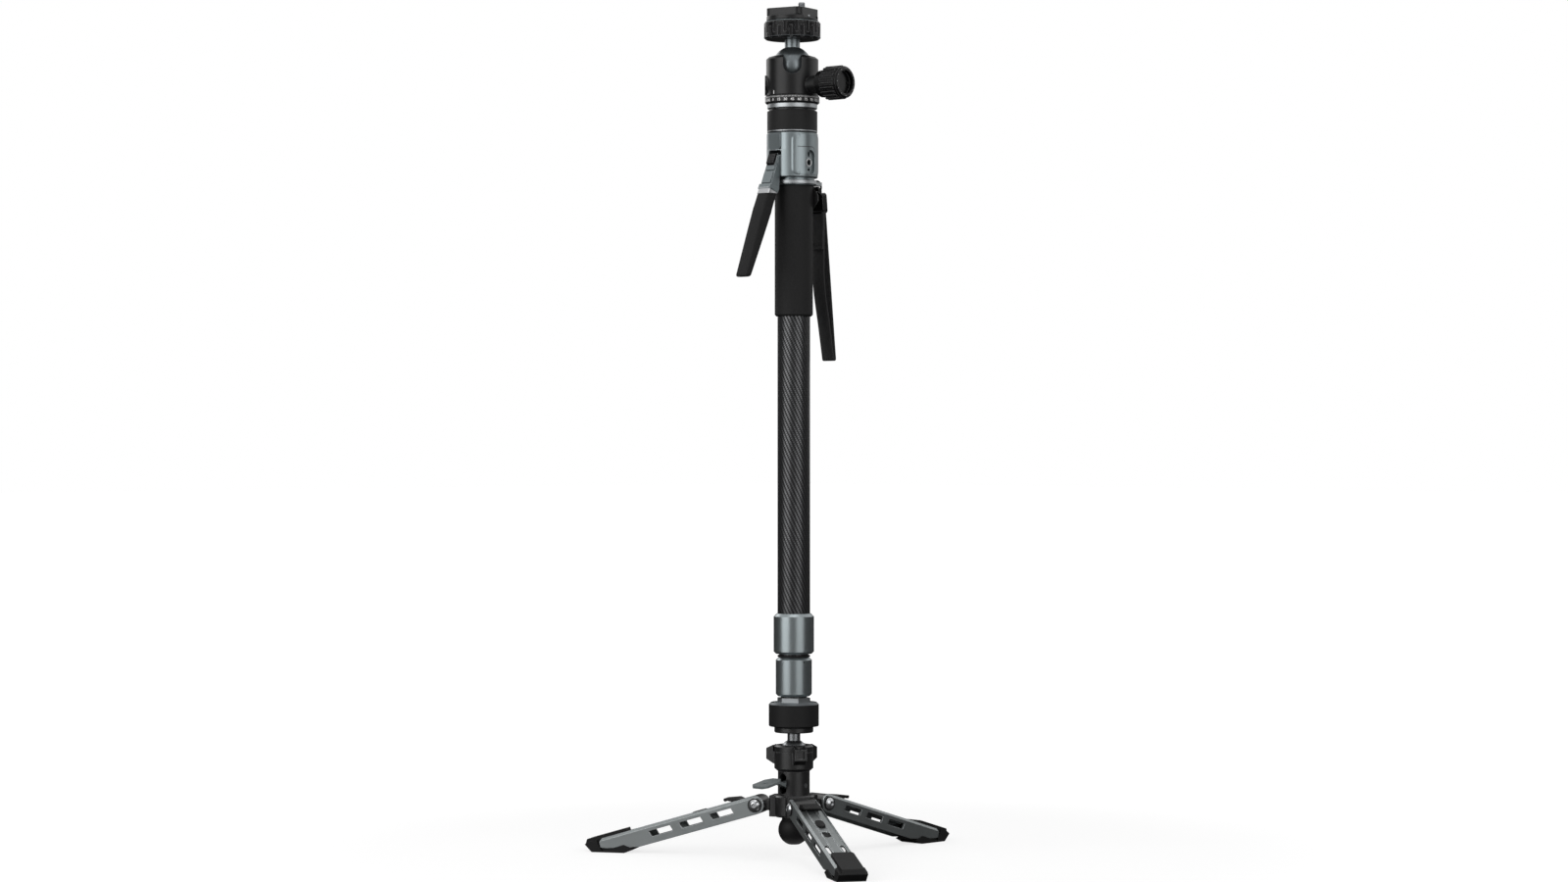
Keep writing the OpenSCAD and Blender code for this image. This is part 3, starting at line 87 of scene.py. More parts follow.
class Graph:
    """A node tree with short calls for adding nodes and joining their sockets."""

    def __init__(self, tree):
        self.tree = tree

    def add(self, kind, settings=None, **inputs):
        node = self.tree.nodes.new(kind)
        for key, value in (settings or {}).items():
            setattr(node, key, value)
        for key, value in inputs.items():
            self.feed(node.inputs[key.replace("_", " ")], value)
        return node

    def feed(self, socket, value):
        if isinstance(value, bpy.types.NodeSocket):
            self.tree.links.new(value, socket)
        elif isinstance(value, tuple) and len(value) == 3 and socket.type == "RGBA":
            socket.default_value = (*value, 1.0)
        else:
            socket.default_value = value

    def math(self, operation, a, b=0.0, c=0.0):
        node = self.tree.nodes.new("ShaderNodeMath")
        node.operation = operation
        for socket, value in zip(node.inputs, (a, b, c)):
            self.feed(socket, value)
        return node.outputs[0]

    def mix(self, factor, a, b, blend="MIX"):
        node = self.tree.nodes.new("ShaderNodeMix")
        node.data_type = "RGBA"
        node.blend_type = blend
        self.feed(node.inputs["Factor"], factor)
        self.feed(node.inputs["A"], a)
        self.feed(node.inputs["B"], b)
        return node.outputs["Result"]

    def span(self, value, low, high):
        """Stretches a value from 0..1 to low..high."""
        return self.math("MULTIPLY_ADD", value, high - low, low)


def shader_group(name, inputs, outputs):
    """A new shader node group with named sockets: returns its graph, its input and its output node."""
    tree = bpy.data.node_groups.new(name, "ShaderNodeTree")
    for socket, default in inputs.items():
        kind = "NodeSocketFloat" if isinstance(default, float) else "NodeSocketVector"
        made = tree.interface.new_socket(socket, in_out="INPUT", socket_type=kind)
        made.default_value = default
    for socket, kind in outputs.items():
        tree.interface.new_socket(socket, in_out="OUTPUT", socket_type=kind)
    graph = Graph(tree)
    return graph, graph.add("NodeGroupInput"), graph.add("NodeGroupOutput")


# How far a rounded edge turns the surface where its lighter colour begins and where it is full: partly wear and
# partly a painted highlight
WEAR_HIGHLIGHT_FROM, WEAR_HIGHLIGHT_FULL = 0.02, 0.2


def make_soft_edge():
    """Rounds the shading of sharp edges and gives a mask of where they are."""
    g, given, out = shader_group(
        "soft_edge", {"Radius": 0.4 * MM}, {"Normal": "NodeSocketVector", "Edge": "NodeSocketFloat"}
    )
    bevel = g.add("ShaderNodeBevel", {"samples": 4}, Radius=given.outputs["Radius"])
    surface = g.add("ShaderNodeNewGeometry")
    turn = g.add("ShaderNodeVectorMath", {"operation": "DOT_PRODUCT"})
    g.feed(turn.inputs[0], bevel.outputs["Normal"])
    g.feed(turn.inputs[1], surface.outputs["Normal"])
    bend = g.math("SUBTRACT", 1.0, turn.outputs["Value"])
    edge = g.add("ShaderNodeMapRange", {"clamp": True}, Value=bend)
    edge.inputs["From Min"].default_value = WEAR_HIGHLIGHT_FROM
    edge.inputs["From Max"].default_value = WEAR_HIGHLIGHT_FULL
    g.feed(out.inputs["Normal"], bevel.outputs["Normal"])
    g.feed(out.inputs["Edge"], edge.outputs["Result"])
    return g.tree


# The noise scale of the slow drift of tone
DRIFT_SCALE = 45.0


def make_fine_grain():
    """Fine blasted or moulded grain: a height for bump and a slow drift of tone."""
    g, given, out = shader_group(
        "fine_grain", {"Scale": 2000.0}, {"Height": "NodeSocketFloat", "Drift": "NodeSocketFloat"}
    )
    place = g.add("ShaderNodeTexCoord").outputs["Object"]
    fine = g.add("ShaderNodeTexNoise", Vector=place, Scale=given.outputs["Scale"], Detail=2.0)
    slow = g.add("ShaderNodeTexNoise", Vector=place, Scale=DRIFT_SCALE, Detail=3.0)
    g.feed(out.inputs["Height"], fine.outputs["Fac"])
    g.feed(out.inputs["Drift"], slow.outputs["Fac"])
    return g.tree


def make_pebble():
    """Closed-cell rubber skin: small rounded grains with gaps between them."""
    g, given, out = shader_group("pebble", {"Scale": 900.0}, {"Height": "NodeSocketFloat"})
    place = g.add("ShaderNodeTexCoord").outputs["Object"]
    scale = given.outputs["Scale"]
    cells = g.add("ShaderNodeTexVoronoi", {"feature": "SMOOTH_F1"}, Vector=place, Scale=scale)
    g.feed(out.inputs["Height"], g.math("SUBTRACT", 1.0, cells.outputs["Distance"]))
    return g.tree


SOFT_EDGE = make_soft_edge()
FINE_GRAIN = make_fine_grain()
PEBBLE = make_pebble()


def new_finish(name):
    """An empty material: returns it, its graph and its Principled shader."""
    material = bpy.data.materials.new(name)
    material.use_nodes = True
    graph = Graph(material.node_tree)
    return material, graph, material.node_tree.nodes["Principled BSDF"]


def place_group(graph, group, **inputs):
    node = graph.tree.nodes.new("ShaderNodeGroup")
    node.node_tree = group
    for key, value in inputs.items():
        graph.feed(node.inputs[key], value)
    return node


# A finish's darker patches, the spread of their roughness, and its lighter edges, from its own tone; the lighter
# edges are partly wear and partly a painted highlight
PATCH_SHADE = 0.86
PATCH_SPREAD = 0.06
WORN_LIT_GAIN, WORN_LIT_LIFT = 2.2, 0.02


def finish(
    name, color, metallic, roughness, depth, edge, grain=2000.0, edge_radius=0.4 * MM, wear_highlight_color=None,
    pebble=0.0, shine=0.5,
):
    """A finish with grain, a slight drift of tone, soft edges, and lighter edges that are partly wear and partly a
    painted highlight.
    """
    material, g, shader = new_finish(name)
    edges = place_group(g, SOFT_EDGE, Radius=edge_radius)
    fine = place_group(g, FINE_GRAIN, Scale=grain)
    worn_lit_edge = wear_highlight_color or tuple(min(1.0, c * WORN_LIT_GAIN + WORN_LIT_LIFT) for c in color)
    dim = tuple(c * PATCH_SHADE for c in color)
    body = g.mix(fine.outputs["Drift"], dim, color)
    # Lighter colour along the edges: partly wear, partly a painted highlight
    g.feed(shader.inputs["Base Color"], g.mix(g.math("MULTIPLY", edges.outputs["Edge"], edge), body, worn_lit_edge))
    gloss = g.span(fine.outputs["Drift"], roughness - PATCH_SPREAD, roughness + PATCH_SPREAD)
    g.feed(shader.inputs["Roughness"], gloss)
    shader.inputs["Metallic"].default_value = metallic
    shader.inputs["Specular IOR Level"].default_value = shine
    height = fine.outputs["Height"]
    if pebble:
        height = place_group(g, PEBBLE, Scale=pebble).outputs["Height"]
    bump = g.add(
        "ShaderNodeBump", Strength=1.0, Distance=depth * MM, Height=height, Normal=edges.outputs["Normal"]
    )
    g.feed(shader.inputs["Normal"], bump.outputs["Normal"])
    return material


# Turned metal: how far its edges are rounded, the shade of its rings and the spread of their roughness
TURNED_EDGE = 0.35 * MM
RING_SHADE = 0.85
RING_SPREAD = 0.05


def turned_finish(name, color, roughness, pitch, depth, metallic=1.0):
    """Bright turned metal: fine rings left by the tool, running round Z."""
    material, g, shader = new_finish(name)
    edges = place_group(g, SOFT_EDGE, Radius=TURNED_EDGE)
    place = g.add("ShaderNodeTexCoord").outputs["Object"]
    along = g.add("ShaderNodeSeparateXYZ", Vector=place).outputs["Z"]
    rings = g.add("ShaderNodeTexNoise", {"noise_dimensions": "1D"}, Scale=1.0, Detail=1.0)
    g.feed(rings.inputs["W"], g.math("MULTIPLY", along, 1.0 / pitch))
    shade = g.mix(rings.outputs["Fac"], tuple(c * RING_SHADE for c in color), color)
    g.feed(shader.inputs["Base Color"], shade)
    gloss = g.span(rings.outputs["Fac"], roughness - RING_SPREAD, roughness + RING_SPREAD)
    g.feed(shader.inputs["Roughness"], gloss)
    shader.inputs["Metallic"].default_value = metallic
    bump = g.add(
        "ShaderNodeBump", Strength=1.0, Distance=depth * MM, Height=rings.outputs["Fac"],
        Normal=edges.outputs["Normal"],
    )
    g.feed(shader.inputs["Normal"], bump.outputs["Normal"])
    return material


def carbon_finish(radius):
    """Two-by-two twill of carbon tows round a tube, under a clear coat."""
    tow_w = 0.85 * MM
    tow_h = 1.75 * MM
    material, g, shader = new_finish("carbon_twill")
    place = g.add("ShaderNodeTexCoord").outputs["Object"]
    axes = g.add("ShaderNodeSeparateXYZ", Vector=place)
    angle = g.math("ARCTAN2", axes.outputs["Y"], axes.outputs["X"])
    columns = round(2 * math.pi * radius / tow_w / 4) * 4
    across = g.math("MULTIPLY", angle, columns / (2 * math.pi))
    up = g.math("MULTIPLY", axes.outputs["Z"], 1.0 / tow_h)
    step = g.math("ADD", g.math("FLOOR", across), g.math("FLOOR", up))
    upright = g.math("LESS_THAN", g.math("FLOORED_MODULO", step, 4.0), 2.0)
    swell_x = g.math("ABSOLUTE", g.math("SINE", g.math("MULTIPLY", across, math.pi)))
    swell_z = g.math("ABSOLUTE", g.math("SINE", g.math("MULTIPLY", up, math.pi)))
    swell = g.math("SQRT", g.math("MULTIPLY", swell_x, swell_z))
    slow = place_group(g, FINE_GRAIN, Scale=1500.0)
    # Each tow goes from darker at its sides to lighter at its crown: painted shade and painted highlight over the
    # tow's bulge
    dark = g.mix(swell, (0.004, 0.004, 0.0045), (0.014, 0.014, 0.015))
    light = g.mix(swell, (0.03, 0.03, 0.031), (0.115, 0.117, 0.12))
    weave = g.mix(upright, dark, light)
    g.feed(shader.inputs["Base Color"], g.mix(g.span(slow.outputs["Drift"], 0.0, 0.3), weave, JET))
    g.feed(shader.inputs["Roughness"], g.span(upright, 0.5, 0.32))
    g.feed(shader.inputs["Metallic"], g.math("MULTIPLY", upright, 0.85))
    shader.inputs["Specular IOR Level"].default_value = 0.12
    shader.inputs["Coat Weight"].default_value = 0.08
    shader.inputs["Coat Roughness"].default_value = 0.2
    bump = g.add("ShaderNodeBump", Strength=0.6, Distance=0.05 * MM, Height=swell)
    g.feed(shader.inputs["Normal"], bump.outputs["Normal"])
    return material


def webbing_finish():
    """Woven nylon: ribs across the strap and fine threads along it, from the strap's own UV map."""
    rib_pitch = 1.1 * MM
    thread_pitch = 0.75 * MM
    material, g, shader = new_finish("nylon_webbing")
    cloth = g.add("ShaderNodeUVMap", {"uv_map": "cloth"}).outputs["UV"]
    axes = g.add("ShaderNodeSeparateXYZ", Vector=cloth)
    along = g.math("MULTIPLY", axes.outputs["Y"], math.pi / rib_pitch)
    across = g.math("MULTIPLY", axes.outputs["X"], math.pi / thread_pitch)
    offset = g.math("MULTIPLY", g.math("FLOOR", g.math("DIVIDE", across, math.pi)), math.pi / 2)
    rib = g.math("ABSOLUTE", g.math("SINE", g.math("ADD", along, offset)))
    thread = g.math("ABSOLUTE", g.math("SINE", across))
    weave = g.math("MULTIPLY", rib, thread)
    slow = place_group(g, FINE_GRAIN, Scale=3000.0)
    # Darker in the gaps between threads and ribs and lighter on their crowns: painted shade in the gaps
    tone = g.mix(weave, (0.004, 0.004, 0.0045), (0.02, 0.02, 0.021))
    g.feed(shader.inputs["Base Color"], g.mix(g.span(slow.outputs["Drift"], 0.0, 0.4), tone, SOOT))
    g.feed(shader.inputs["Roughness"], g.span(weave, 0.85, 0.65))
    shader.inputs["Sheen Weight"].default_value = 0.15
    shader.inputs["Sheen Roughness"].default_value = 0.4
    bump = g.add("ShaderNodeBump", Strength=0.8, Distance=0.15 * MM, Height=weave)
    g.feed(shader.inputs["Normal"], bump.outputs["Normal"])
    return material


# The lighter edge colours of these finishes are partly wear and partly painted highlights along the edges
BLACK_ANODISED = finish(
    "black_anodised", (0.0045, 0.0045, 0.0048), 0.0, 0.36, grain=2600.0, depth=0.01, edge=0.8,
    edge_radius=0.5 * MM, wear_highlight_color=(0.13, 0.13, 0.134), shine=0.25,
)
# A lighter, shinier copy of the black anodised finish for the base, where the lamps are weaker: painted light
LIT_BASE_BLACK = finish(
    "lit_base_black", (0.007, 0.007, 0.0073), 0.0, 0.34, grain=2600.0, depth=0.01, edge=0.8,
    edge_radius=0.5 * MM, wear_highlight_color=(0.16, 0.16, 0.164), shine=0.55,
)
RIBBED_BLACK = finish(
    "ribbed_black", (0.004, 0.004, 0.0043), 0.0, 0.3, grain=2600.0, depth=0.01, edge=1.0,
    edge_radius=0.4 * MM, wear_highlight_color=(0.36, 0.36, 0.365), shine=0.12,
)
GREY_ANODISED = finish(
    "grey_anodised", SLATE, 0.85, 0.36, grain=2600.0, depth=0.012, edge=0.6, wear_highlight_color=(0.5, 0.53, 0.54)
)
# The legs' near-white edge colour stands mostly for the highlight on their chamfered top edges: a painted
# highlight
LEG_GREY = finish(
    "leg_grey", (0.25, 0.268, 0.27), 0.85, 0.36, grain=2600.0, depth=0.012, edge=1.0, edge_radius=0.5 * MM,
    wear_highlight_color=(0.72, 0.75, 0.76),
)
PEDAL_GREY = finish("pedal_grey", (0.17, 0.19, 0.195), 0.3, 0.45, grain=2600.0, depth=0.012, edge=0.5)
DARK_ANODISED = finish("dark_anodised", SLATE_DARK, 0.7, 0.38, grain=2600.0, depth=0.012, edge=0.5)
BRIGHT_TURNED = turned_finish("bright_turned", BRIGHT, 0.42, 0.12 * MM, depth=0.002)
GREY_TURNED = turned_finish("grey_turned", SLATE_LIGHT, 0.31, 0.1 * MM, metallic=0.9, depth=0.003)
POLISHED_STEEL = turned_finish("polished_steel", STEEL, 0.33, 0.15 * MM, depth=0.003)
SCREW_STEEL = finish("screw_steel", (0.46, 0.47, 0.48), 0.95, 0.3, grain=3000.0, depth=0.004, edge=0.0)
DARK_BALL = finish("dark_ball", (0.15, 0.168, 0.176), 0.85, 0.34, grain=3000.0, depth=0.004, edge=0.0)
GRIP_RUBBER = finish(
    "grip_rubber", (0.009, 0.009, 0.0092), 0.0, 0.66, depth=0.16, edge=0.1, edge_radius=0.8 * MM,
    pebble=1150.0, shine=0.18,
)
PLAIN_RUBBER = finish(
    "plain_rubber", (0.0085, 0.0085, 0.0087), 0.0, 0.58, grain=1800.0, depth=0.03, edge=0.3, shine=0.18,
)
GLOSS_PLASTIC = finish(
    "gloss_plastic", (0.003, 0.003, 0.0032), 0.0, 0.26, grain=1500.0, depth=0.008, edge=0.8,
    edge_radius=0.6 * MM, wear_highlight_color=(0.17, 0.17, 0.174), shine=0.15,
)
SATIN_PLASTIC = finish(
    "satin_plastic", (0.009, 0.009, 0.0092), 0.0, 0.42, grain=2200.0, depth=0.02, edge=0.4, shine=0.3,
)
NICKEL = finish("nickel", (0.62, 0.63, 0.64), 0.4, 0.45, grain=3000.0, depth=0.004, edge=0.0)
NYLON_WHITE = finish("nylon_white", IVORY, 0.0, 0.5, grain=1500.0, depth=0.02, edge=0.2)
PRINT_WHITE = finish("print_white", PAINT_WHITE, 0.0, 0.6, grain=3000.0, depth=0.004, edge=0.0)
SEAM_DARK = finish("seam_dark", (0.012, 0.013, 0.014), 0.0, 0.6, grain=2500.0, depth=0.01, edge=0.0)
KNOB_DOT = finish("knob_dot", (0.32, 0.32, 0.325), 0.0, 0.4, grain=2500.0, depth=0.004, edge=0.0)
THREAD_BLACK = finish("sewing_thread", (0.014, 0.014, 0.0145), 0.0, 0.7, grain=6000.0, depth=0.05, edge=0.0)
TUBE_R = 15 * MM
CARBON_TWILL = carbon_finish(TUBE_R)
NYLON_WEBBING = webbing_finish()

NODE_FINISHES = {
    BLACK_ANODISED: ["pan_scale_ring", "head_housing", "clamp_base", "quick_plate", "head_mount"],
    LIT_BASE_BLACK: ["hub", "column", "ball_housing", "ball_cap", "swivel_disc"],
    RIBBED_BLACK: ["clamp_ring"],
    GREY_ANODISED: ["handle_block", "label_panel", "side_cover", "lever_arm", "mast_foot"],
    LEG_GREY: ["leg_1_channel", "leg_2_channel", "leg_3_channel"],
    GREY_TURNED: ["collar_1", "collar_2"],
    PEDAL_GREY: ["pedal"],
    SCREW_STEEL: ["leg_pivot_screws"],
    BRIGHT_TURNED: ["strap_ring", "pan_base", "mast_nut"],
    POLISHED_STEEL: [
        "pedal_pin", "lever_pin", "release_rod", "base_ball", "camera_screw", "brake_plunger",
        "plunger_spring", "lever_spring",
    ],
    DARK_BALL: ["head_ball"],
    GRIP_RUBBER: ["grip", "lever_sleeve"],
    PLAIN_RUBBER: [
        "centre_foot", "lower_lock_ring", "upper_lock_ring", "leg_1_boot", "leg_2_boot", "leg_3_boot",
    ],
    GLOSS_PLASTIC: ["lock_knob", "strap_slider", "lever_latch"],
    SATIN_PLASTIC: ["pivot_washers", "leg_1_tab", "leg_2_tab", "leg_3_tab", "strap_loop"],
    NYLON_WHITE: ["ball_seat", "head_seat", "clutch_lower", "clutch_upper"],
    CARBON_TWILL: ["tube_1", "tube_2", "tube_3"],
    NYLON_WEBBING: ["strap_webbing"],
}


def dress_nodes():
    for material, names in NODE_FINISHES.items():
        for name in names:
            slots = NODES[name].data.materials
            slots.clear()
            slots.append(material)


dress_nodes()

# Fine detail: helpers for meshes and pieces

JOINTS = {joint["name"]: joint for joint in frame["joints"]}
SHARP_ANGLE = math.radians(35)
QUARTER = math.radians(90)
WELD = 1e-6
PIN_SIDES = 24


def joint_place(name):
    return Vector(JOINTS[name]["pos_m"])


def add_object(name, data):
    made = bpy.data.objects.new(name, data)
    bpy.context.scene.collection.objects.link(made)
    return made


def plain_mesh(carrier):
    """The shape that an object is evaluated to, as a plain mesh. The object is removed."""
    graph = bpy.context.evaluated_depsgraph_get()
    mesh = bpy.data.meshes.new_from_object(carrier.evaluated_get(graph))
    bpy.data.objects.remove(carrier)
    return mesh


def close_mesh(bm, name):
    """The mesh that was being built, finished."""
    mesh = bpy.data.meshes.new(name)
    bm.to_mesh(mesh)
    bm.free()
    return mesh


def smooth(mesh):
    mesh.polygons.foreach_set("use_smooth", [True] * len(mesh.polygons))
    mesh.set_sharp_from_angle(angle=SHARP_ANGLE)


def make_piece(name, mesh, material, body):
    """A finished mesh as a piece of the object that moves with a body."""
    mesh.name = name
    mesh.materials.clear()
    mesh.materials.append(material)
    smooth(mesh)
    piece = add_object(name, mesh)
    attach(piece, body)
    return piece


def skin(rings, loop=False, capped=True, place=None):
    """A mesh through rings of points that all have the same count. loop joins the last ring to the first."""
    bm = bmesh.new()
    rows = [[bm.verts.new(place @ Vector(p) if place else p) for p in ring] for ring in rings]
    count = len(rows[0])
    pairs = list(zip(rows, rows[1:])) + ([(rows[-1], rows[0])] if loop else [])
    for low, high in pairs:
        for i in range(count):
            j = (i + 1) % count
            bm.faces.new((low[i], low[j], high[j], high[i]))
    if capped and not loop:
        bm.faces.new(rows[0][::-1])
        bm.faces.new(rows[-1])
    bmesh.ops.remove_doubles(bm, verts=bm.verts, dist=WELD)
    bmesh.ops.recalc_face_normals(bm, faces=bm.faces)
    return close_mesh(bm, "skin")


def full_turn(count):
    """Angles spaced evenly round a circle."""
    return [2 * math.pi * i / count for i in range(count)]


def lathe(profile, place=None, segments=96):
    """A closed outline of (radius, height) points turned round Z."""
    rings = [[(r * math.cos(a), r * math.sin(a), z) for r, z in profile] for a in full_turn(segments)]
    return skin(rings, loop=True, place=place)


def torus_outline(radius, wire, height, count=14):
    """Points of a round wire that a lathe turns into a ring."""
    return [(radius + wire * math.cos(a), height + wire * math.sin(a)) for a in full_turn(count)]


def rounded_outline(width, height, radius, per_corner=6):
    """Points of a rounded rectangle, counter-clockwise."""
    points = []
    for turn, (sx, sy) in enumerate([(1, 1), (-1, 1), (-1, -1), (1, -1)]):
        middle = Vector((sx * (width / 2 - radius), sy * (height / 2 - radius)))
        for i in range(per_corner):
            a = QUARTER * (turn + i / (per_corner - 1))
            points.append(middle + radius * Vector((math.cos(a), math.sin(a))))
    return points


def block(size, place):
    """A box of the given size about its own middle."""
    bm = bmesh.new()
    bmesh.ops.create_cube(bm, size=1.0, matrix=place @ Matrix.Diagonal((*size, 1.0)))
    return close_mesh(bm, "block")


def tube_along(points, radius, sides=10):
    """A round wire through points."""
    outline = [Vector((radius * math.cos(a), radius * math.sin(a), 0)) for a in full_turn(sides)]
    rings = []
    for i, p in enumerate(points):
        ahead = (points[min(i + 1, len(points) - 1)] - points[max(i - 1, 0)]).to_track_quat("Z", "Y")
        rings.append([p + ahead @ spot for spot in outline])
    return skin(rings)


# Geometry Nodes: marks round a ring, and stitches along a path


def geometry_group(name, inputs):
    """A new Geometry Nodes tree with named inputs: returns its graph, input node and output node."""
    tree = bpy.data.node_groups.new(name, "GeometryNodeTree")
    tree.interface.new_socket("Geometry", in_out="INPUT", socket_type="NodeSocketGeometry")
    for socket, (kind, default) in inputs.items():
        made = tree.interface.new_socket(socket, in_out="INPUT", socket_type="NodeSocket" + kind)
        if default is not None:
            made.default_value = default
    tree.interface.new_socket("Geometry", in_out="OUTPUT", socket_type="NodeSocketGeometry")
    graph = Graph(tree)
    return graph, graph.add("NodeGroupInput"), graph.add("NodeGroupOutput")


def close_group(graph, instances, material, out):
    """Ends a tree: real geometry with its material."""
    real = graph.add("GeometryNodeRealizeInstances", Geometry=instances)
    painted = graph.add("GeometryNodeSetMaterial", Geometry=real.outputs["Geometry"], Material=material)
    graph.feed(out.inputs["Geometry"], painted.outputs["Geometry"])
    return graph.tree


def make_ring_marks():
    """Boxes spaced round a ring about Z, each facing outwards."""
    g, given, out = geometry_group(
        "ring_marks",
        {
            "Count": ("Int", 12), "Radius": ("Float", 10 * MM), "Mark": ("Vector", (MM, MM, MM)),
            "Material": ("Material", None),
        },
    )
    ring = g.add("GeometryNodeMeshCircle", Vertices=given.outputs["Count"], Radius=given.outputs["Radius"])
    box = g.add("GeometryNodeMeshCube", Size=given.outputs["Mark"])
    place = g.add("GeometryNodeInputPosition").outputs["Position"]
    outwards = g.add("FunctionNodeAlignRotationToVector", {"axis": "X"}, Vector=place)
    marks = g.add(
        "GeometryNodeInstanceOnPoints", Points=ring.outputs["Mesh"], Instance=box.outputs["Mesh"],
        Rotation=outwards.outputs["Rotation"],
    )
    return close_group(g, marks.outputs["Instances"], given.outputs["Material"], out)


def make_stitch_row():
    """Short rounded stitches laid end to end along the mesh line that carries the tree."""
    g, given, out = geometry_group(
        "stitch_row",
        {
            "Pitch": ("Float", 2.5 * MM), "Stitch": ("Vector", (1.9 * MM, 0.55 * MM, 0.45 * MM)),
            "Facing": ("Vector", (0, 0, 1)), "Material": ("Material", None),
        },
    )
    path = g.add("GeometryNodeMeshToCurve", Mesh=given.outputs["Geometry"])
    points = g.add(
        "GeometryNodeCurveToPoints", {"mode": "LENGTH"}, Curve=path.outputs["Curve"],
        Length=given.outputs["Pitch"],
    )
    ball = g.add("GeometryNodeMeshUVSphere", Segments=8, Rings=5, Radius=0.5)
    along = g.add("FunctionNodeAlignRotationToVector", {"axis": "X"}, Vector=points.outputs["Tangent"])
    level = g.add(
        "FunctionNodeAlignRotationToVector", {"axis": "Z", "pivot_axis": "X"},
        Rotation=along.outputs["Rotation"], Vector=given.outputs["Facing"],
    )
    stitches = g.add(
        "GeometryNodeInstanceOnPoints", Points=points.outputs["Points"], Instance=ball.outputs["Mesh"],
        Rotation=level.outputs["Rotation"], Scale=given.outputs["Stitch"],
    )
    return close_group(g, stitches.outputs["Instances"], given.outputs["Material"], out)


def grow(tree, base, values):
    """Runs a tree on a base mesh with the given inputs and returns the result as a plain mesh."""
    carrier = add_object("carrier", base)
    modifier = carrier.modifiers.new("grow", "NODES")
    modifier.node_group = tree
    for item in tree.interface.items_tree:
        if item.item_type == "SOCKET" and item.in_out == "INPUT" and item.name in values:
            modifier[item.identifier] = values[item.name]
    return plain_mesh(carrier)


RING_MARKS = make_ring_marks()
STITCH_ROW = make_stitch_row()


def ring_of_marks(count, radius, mark, material, place):
    values = {"Count": count, "Radius": radius, "Mark": mark, "Material": material}
    mesh = grow(RING_MARKS, bpy.data.meshes.new("empty"), values)
    mesh.transform(place)
    return mesh


def stitches_along(points, facing, material):
    line = bpy.data.meshes.new("line")
    line.from_pydata(points, [(i, i + 1) for i in range(len(points) - 1)], [])
    return grow(STITCH_ROW, line, {"Facing": facing, "Material": material})


# Strap: a loop of webbing that comes out of the slider, with its sewn end doubled

STRAP_PIVOT = joint_place("strap_swing")
STRAP_AZIMUTH = QUARTER
STRAP_LEAN = math.radians(-5.6)
STRAP_PLACE = (
    Matrix.Translation(STRAP_PIVOT)
    @ Matrix.Rotation(STRAP_AZIMUTH, 4, "Z")
    @ Matrix.Rotation(STRAP_LEAN, 4, "Y")
)
WEB_W = 15 * MM
WEB_T = 1.5 * MM
# The rounding of the webbing's edges, as a share of its thickness
WEB_ROUND = 0.4
WEB_TOP = -23.5 * MM
WEB_LOW = -162.6 * MM
WEB_OUTER = 1.8 * MM
WEB_BOW = 6.2 * MM
LAYER_GAP = 0.1 * MM
FOLD_R = 1.15 * MM
FOLD_UP = 0.4 * MM
# How far the inner layer bows in: share of the way down the strap, and share of the full bow
BOW_SHAPE = [(0.0, 0.0), (0.06, 0.02), (0.26, 0.58), (0.5, 1.0), (0.77, 0.52), (0.95, 0.2), (1.0, 0.12)]
DOUBLED_FROM = 0.03
DOUBLED_TO = 0.36
STITCH_INSET = 1.6 * MM
# How far the stitches lie from the middle of the webbing, as a share of its thickness
STITCH_LIFT = 0.52
OUTER_STEPS = 24
FOLD_STEPS = 8
# The slider's neck, from the strap's pivot
NECK_SIZE = (3 * MM, 4.4 * MM, 1.5 * MM)
NECK_AT = (-0.5 * MM, 0, -2.7 * MM)


def spline(points, steps=8):
    """A smooth curve through points, with steps samples for each stretch."""
    pts = [Vector(p) for p in points]
    ends = [2 * pts[0] - pts[1]] + pts + [2 * pts[-1] - pts[-2]]
    curve = []
    for a, b, c, d in zip(ends, ends[1:], ends[2:], ends[3:]):
        square, cube = 2 * a - 5 * b + 4 * c - d, 3 * b - a - 3 * c + d
        for i in range(steps):
            t = i / steps
            curve.append(0.5 * (2 * b + (c - a) * t + square * t**2 + cube * t**3))
    return curve + [pts[-1]]


def inner_layer():
    """The inner layer's middle line, from the slider down, as (out, height)."""
    left = WEB_OUTER - WEB_T - LAYER_GAP
    return [(left - p.y * WEB_BOW, WEB_TOP + p.x * (WEB_LOW - WEB_TOP)) for p in spline(BOW_SHAPE)]


def strap_line():
    """The loop's middle line: down the outer layer, round the fold and up the inner one."""
    inner = inner_layer()
    low = inner[-1]
    middle = ((WEB_OUTER + low[0]) / 2, WEB_LOW + FOLD_UP)
    reach = (WEB_OUTER - low[0]) / 2
    drop = (WEB_LOW - WEB_TOP) / OUTER_STEPS
    outer = [(WEB_OUTER, WEB_TOP + drop * i) for i in range(OUTER_STEPS + 1)]
    turns = [math.pi * i / FOLD_STEPS for i in range(1, FOLD_STEPS)]
    fold = [(middle[0] + reach * math.cos(a), middle[1] - FOLD_R * math.sin(a)) for a in turns]
    return outer + fold + inner[::-1]


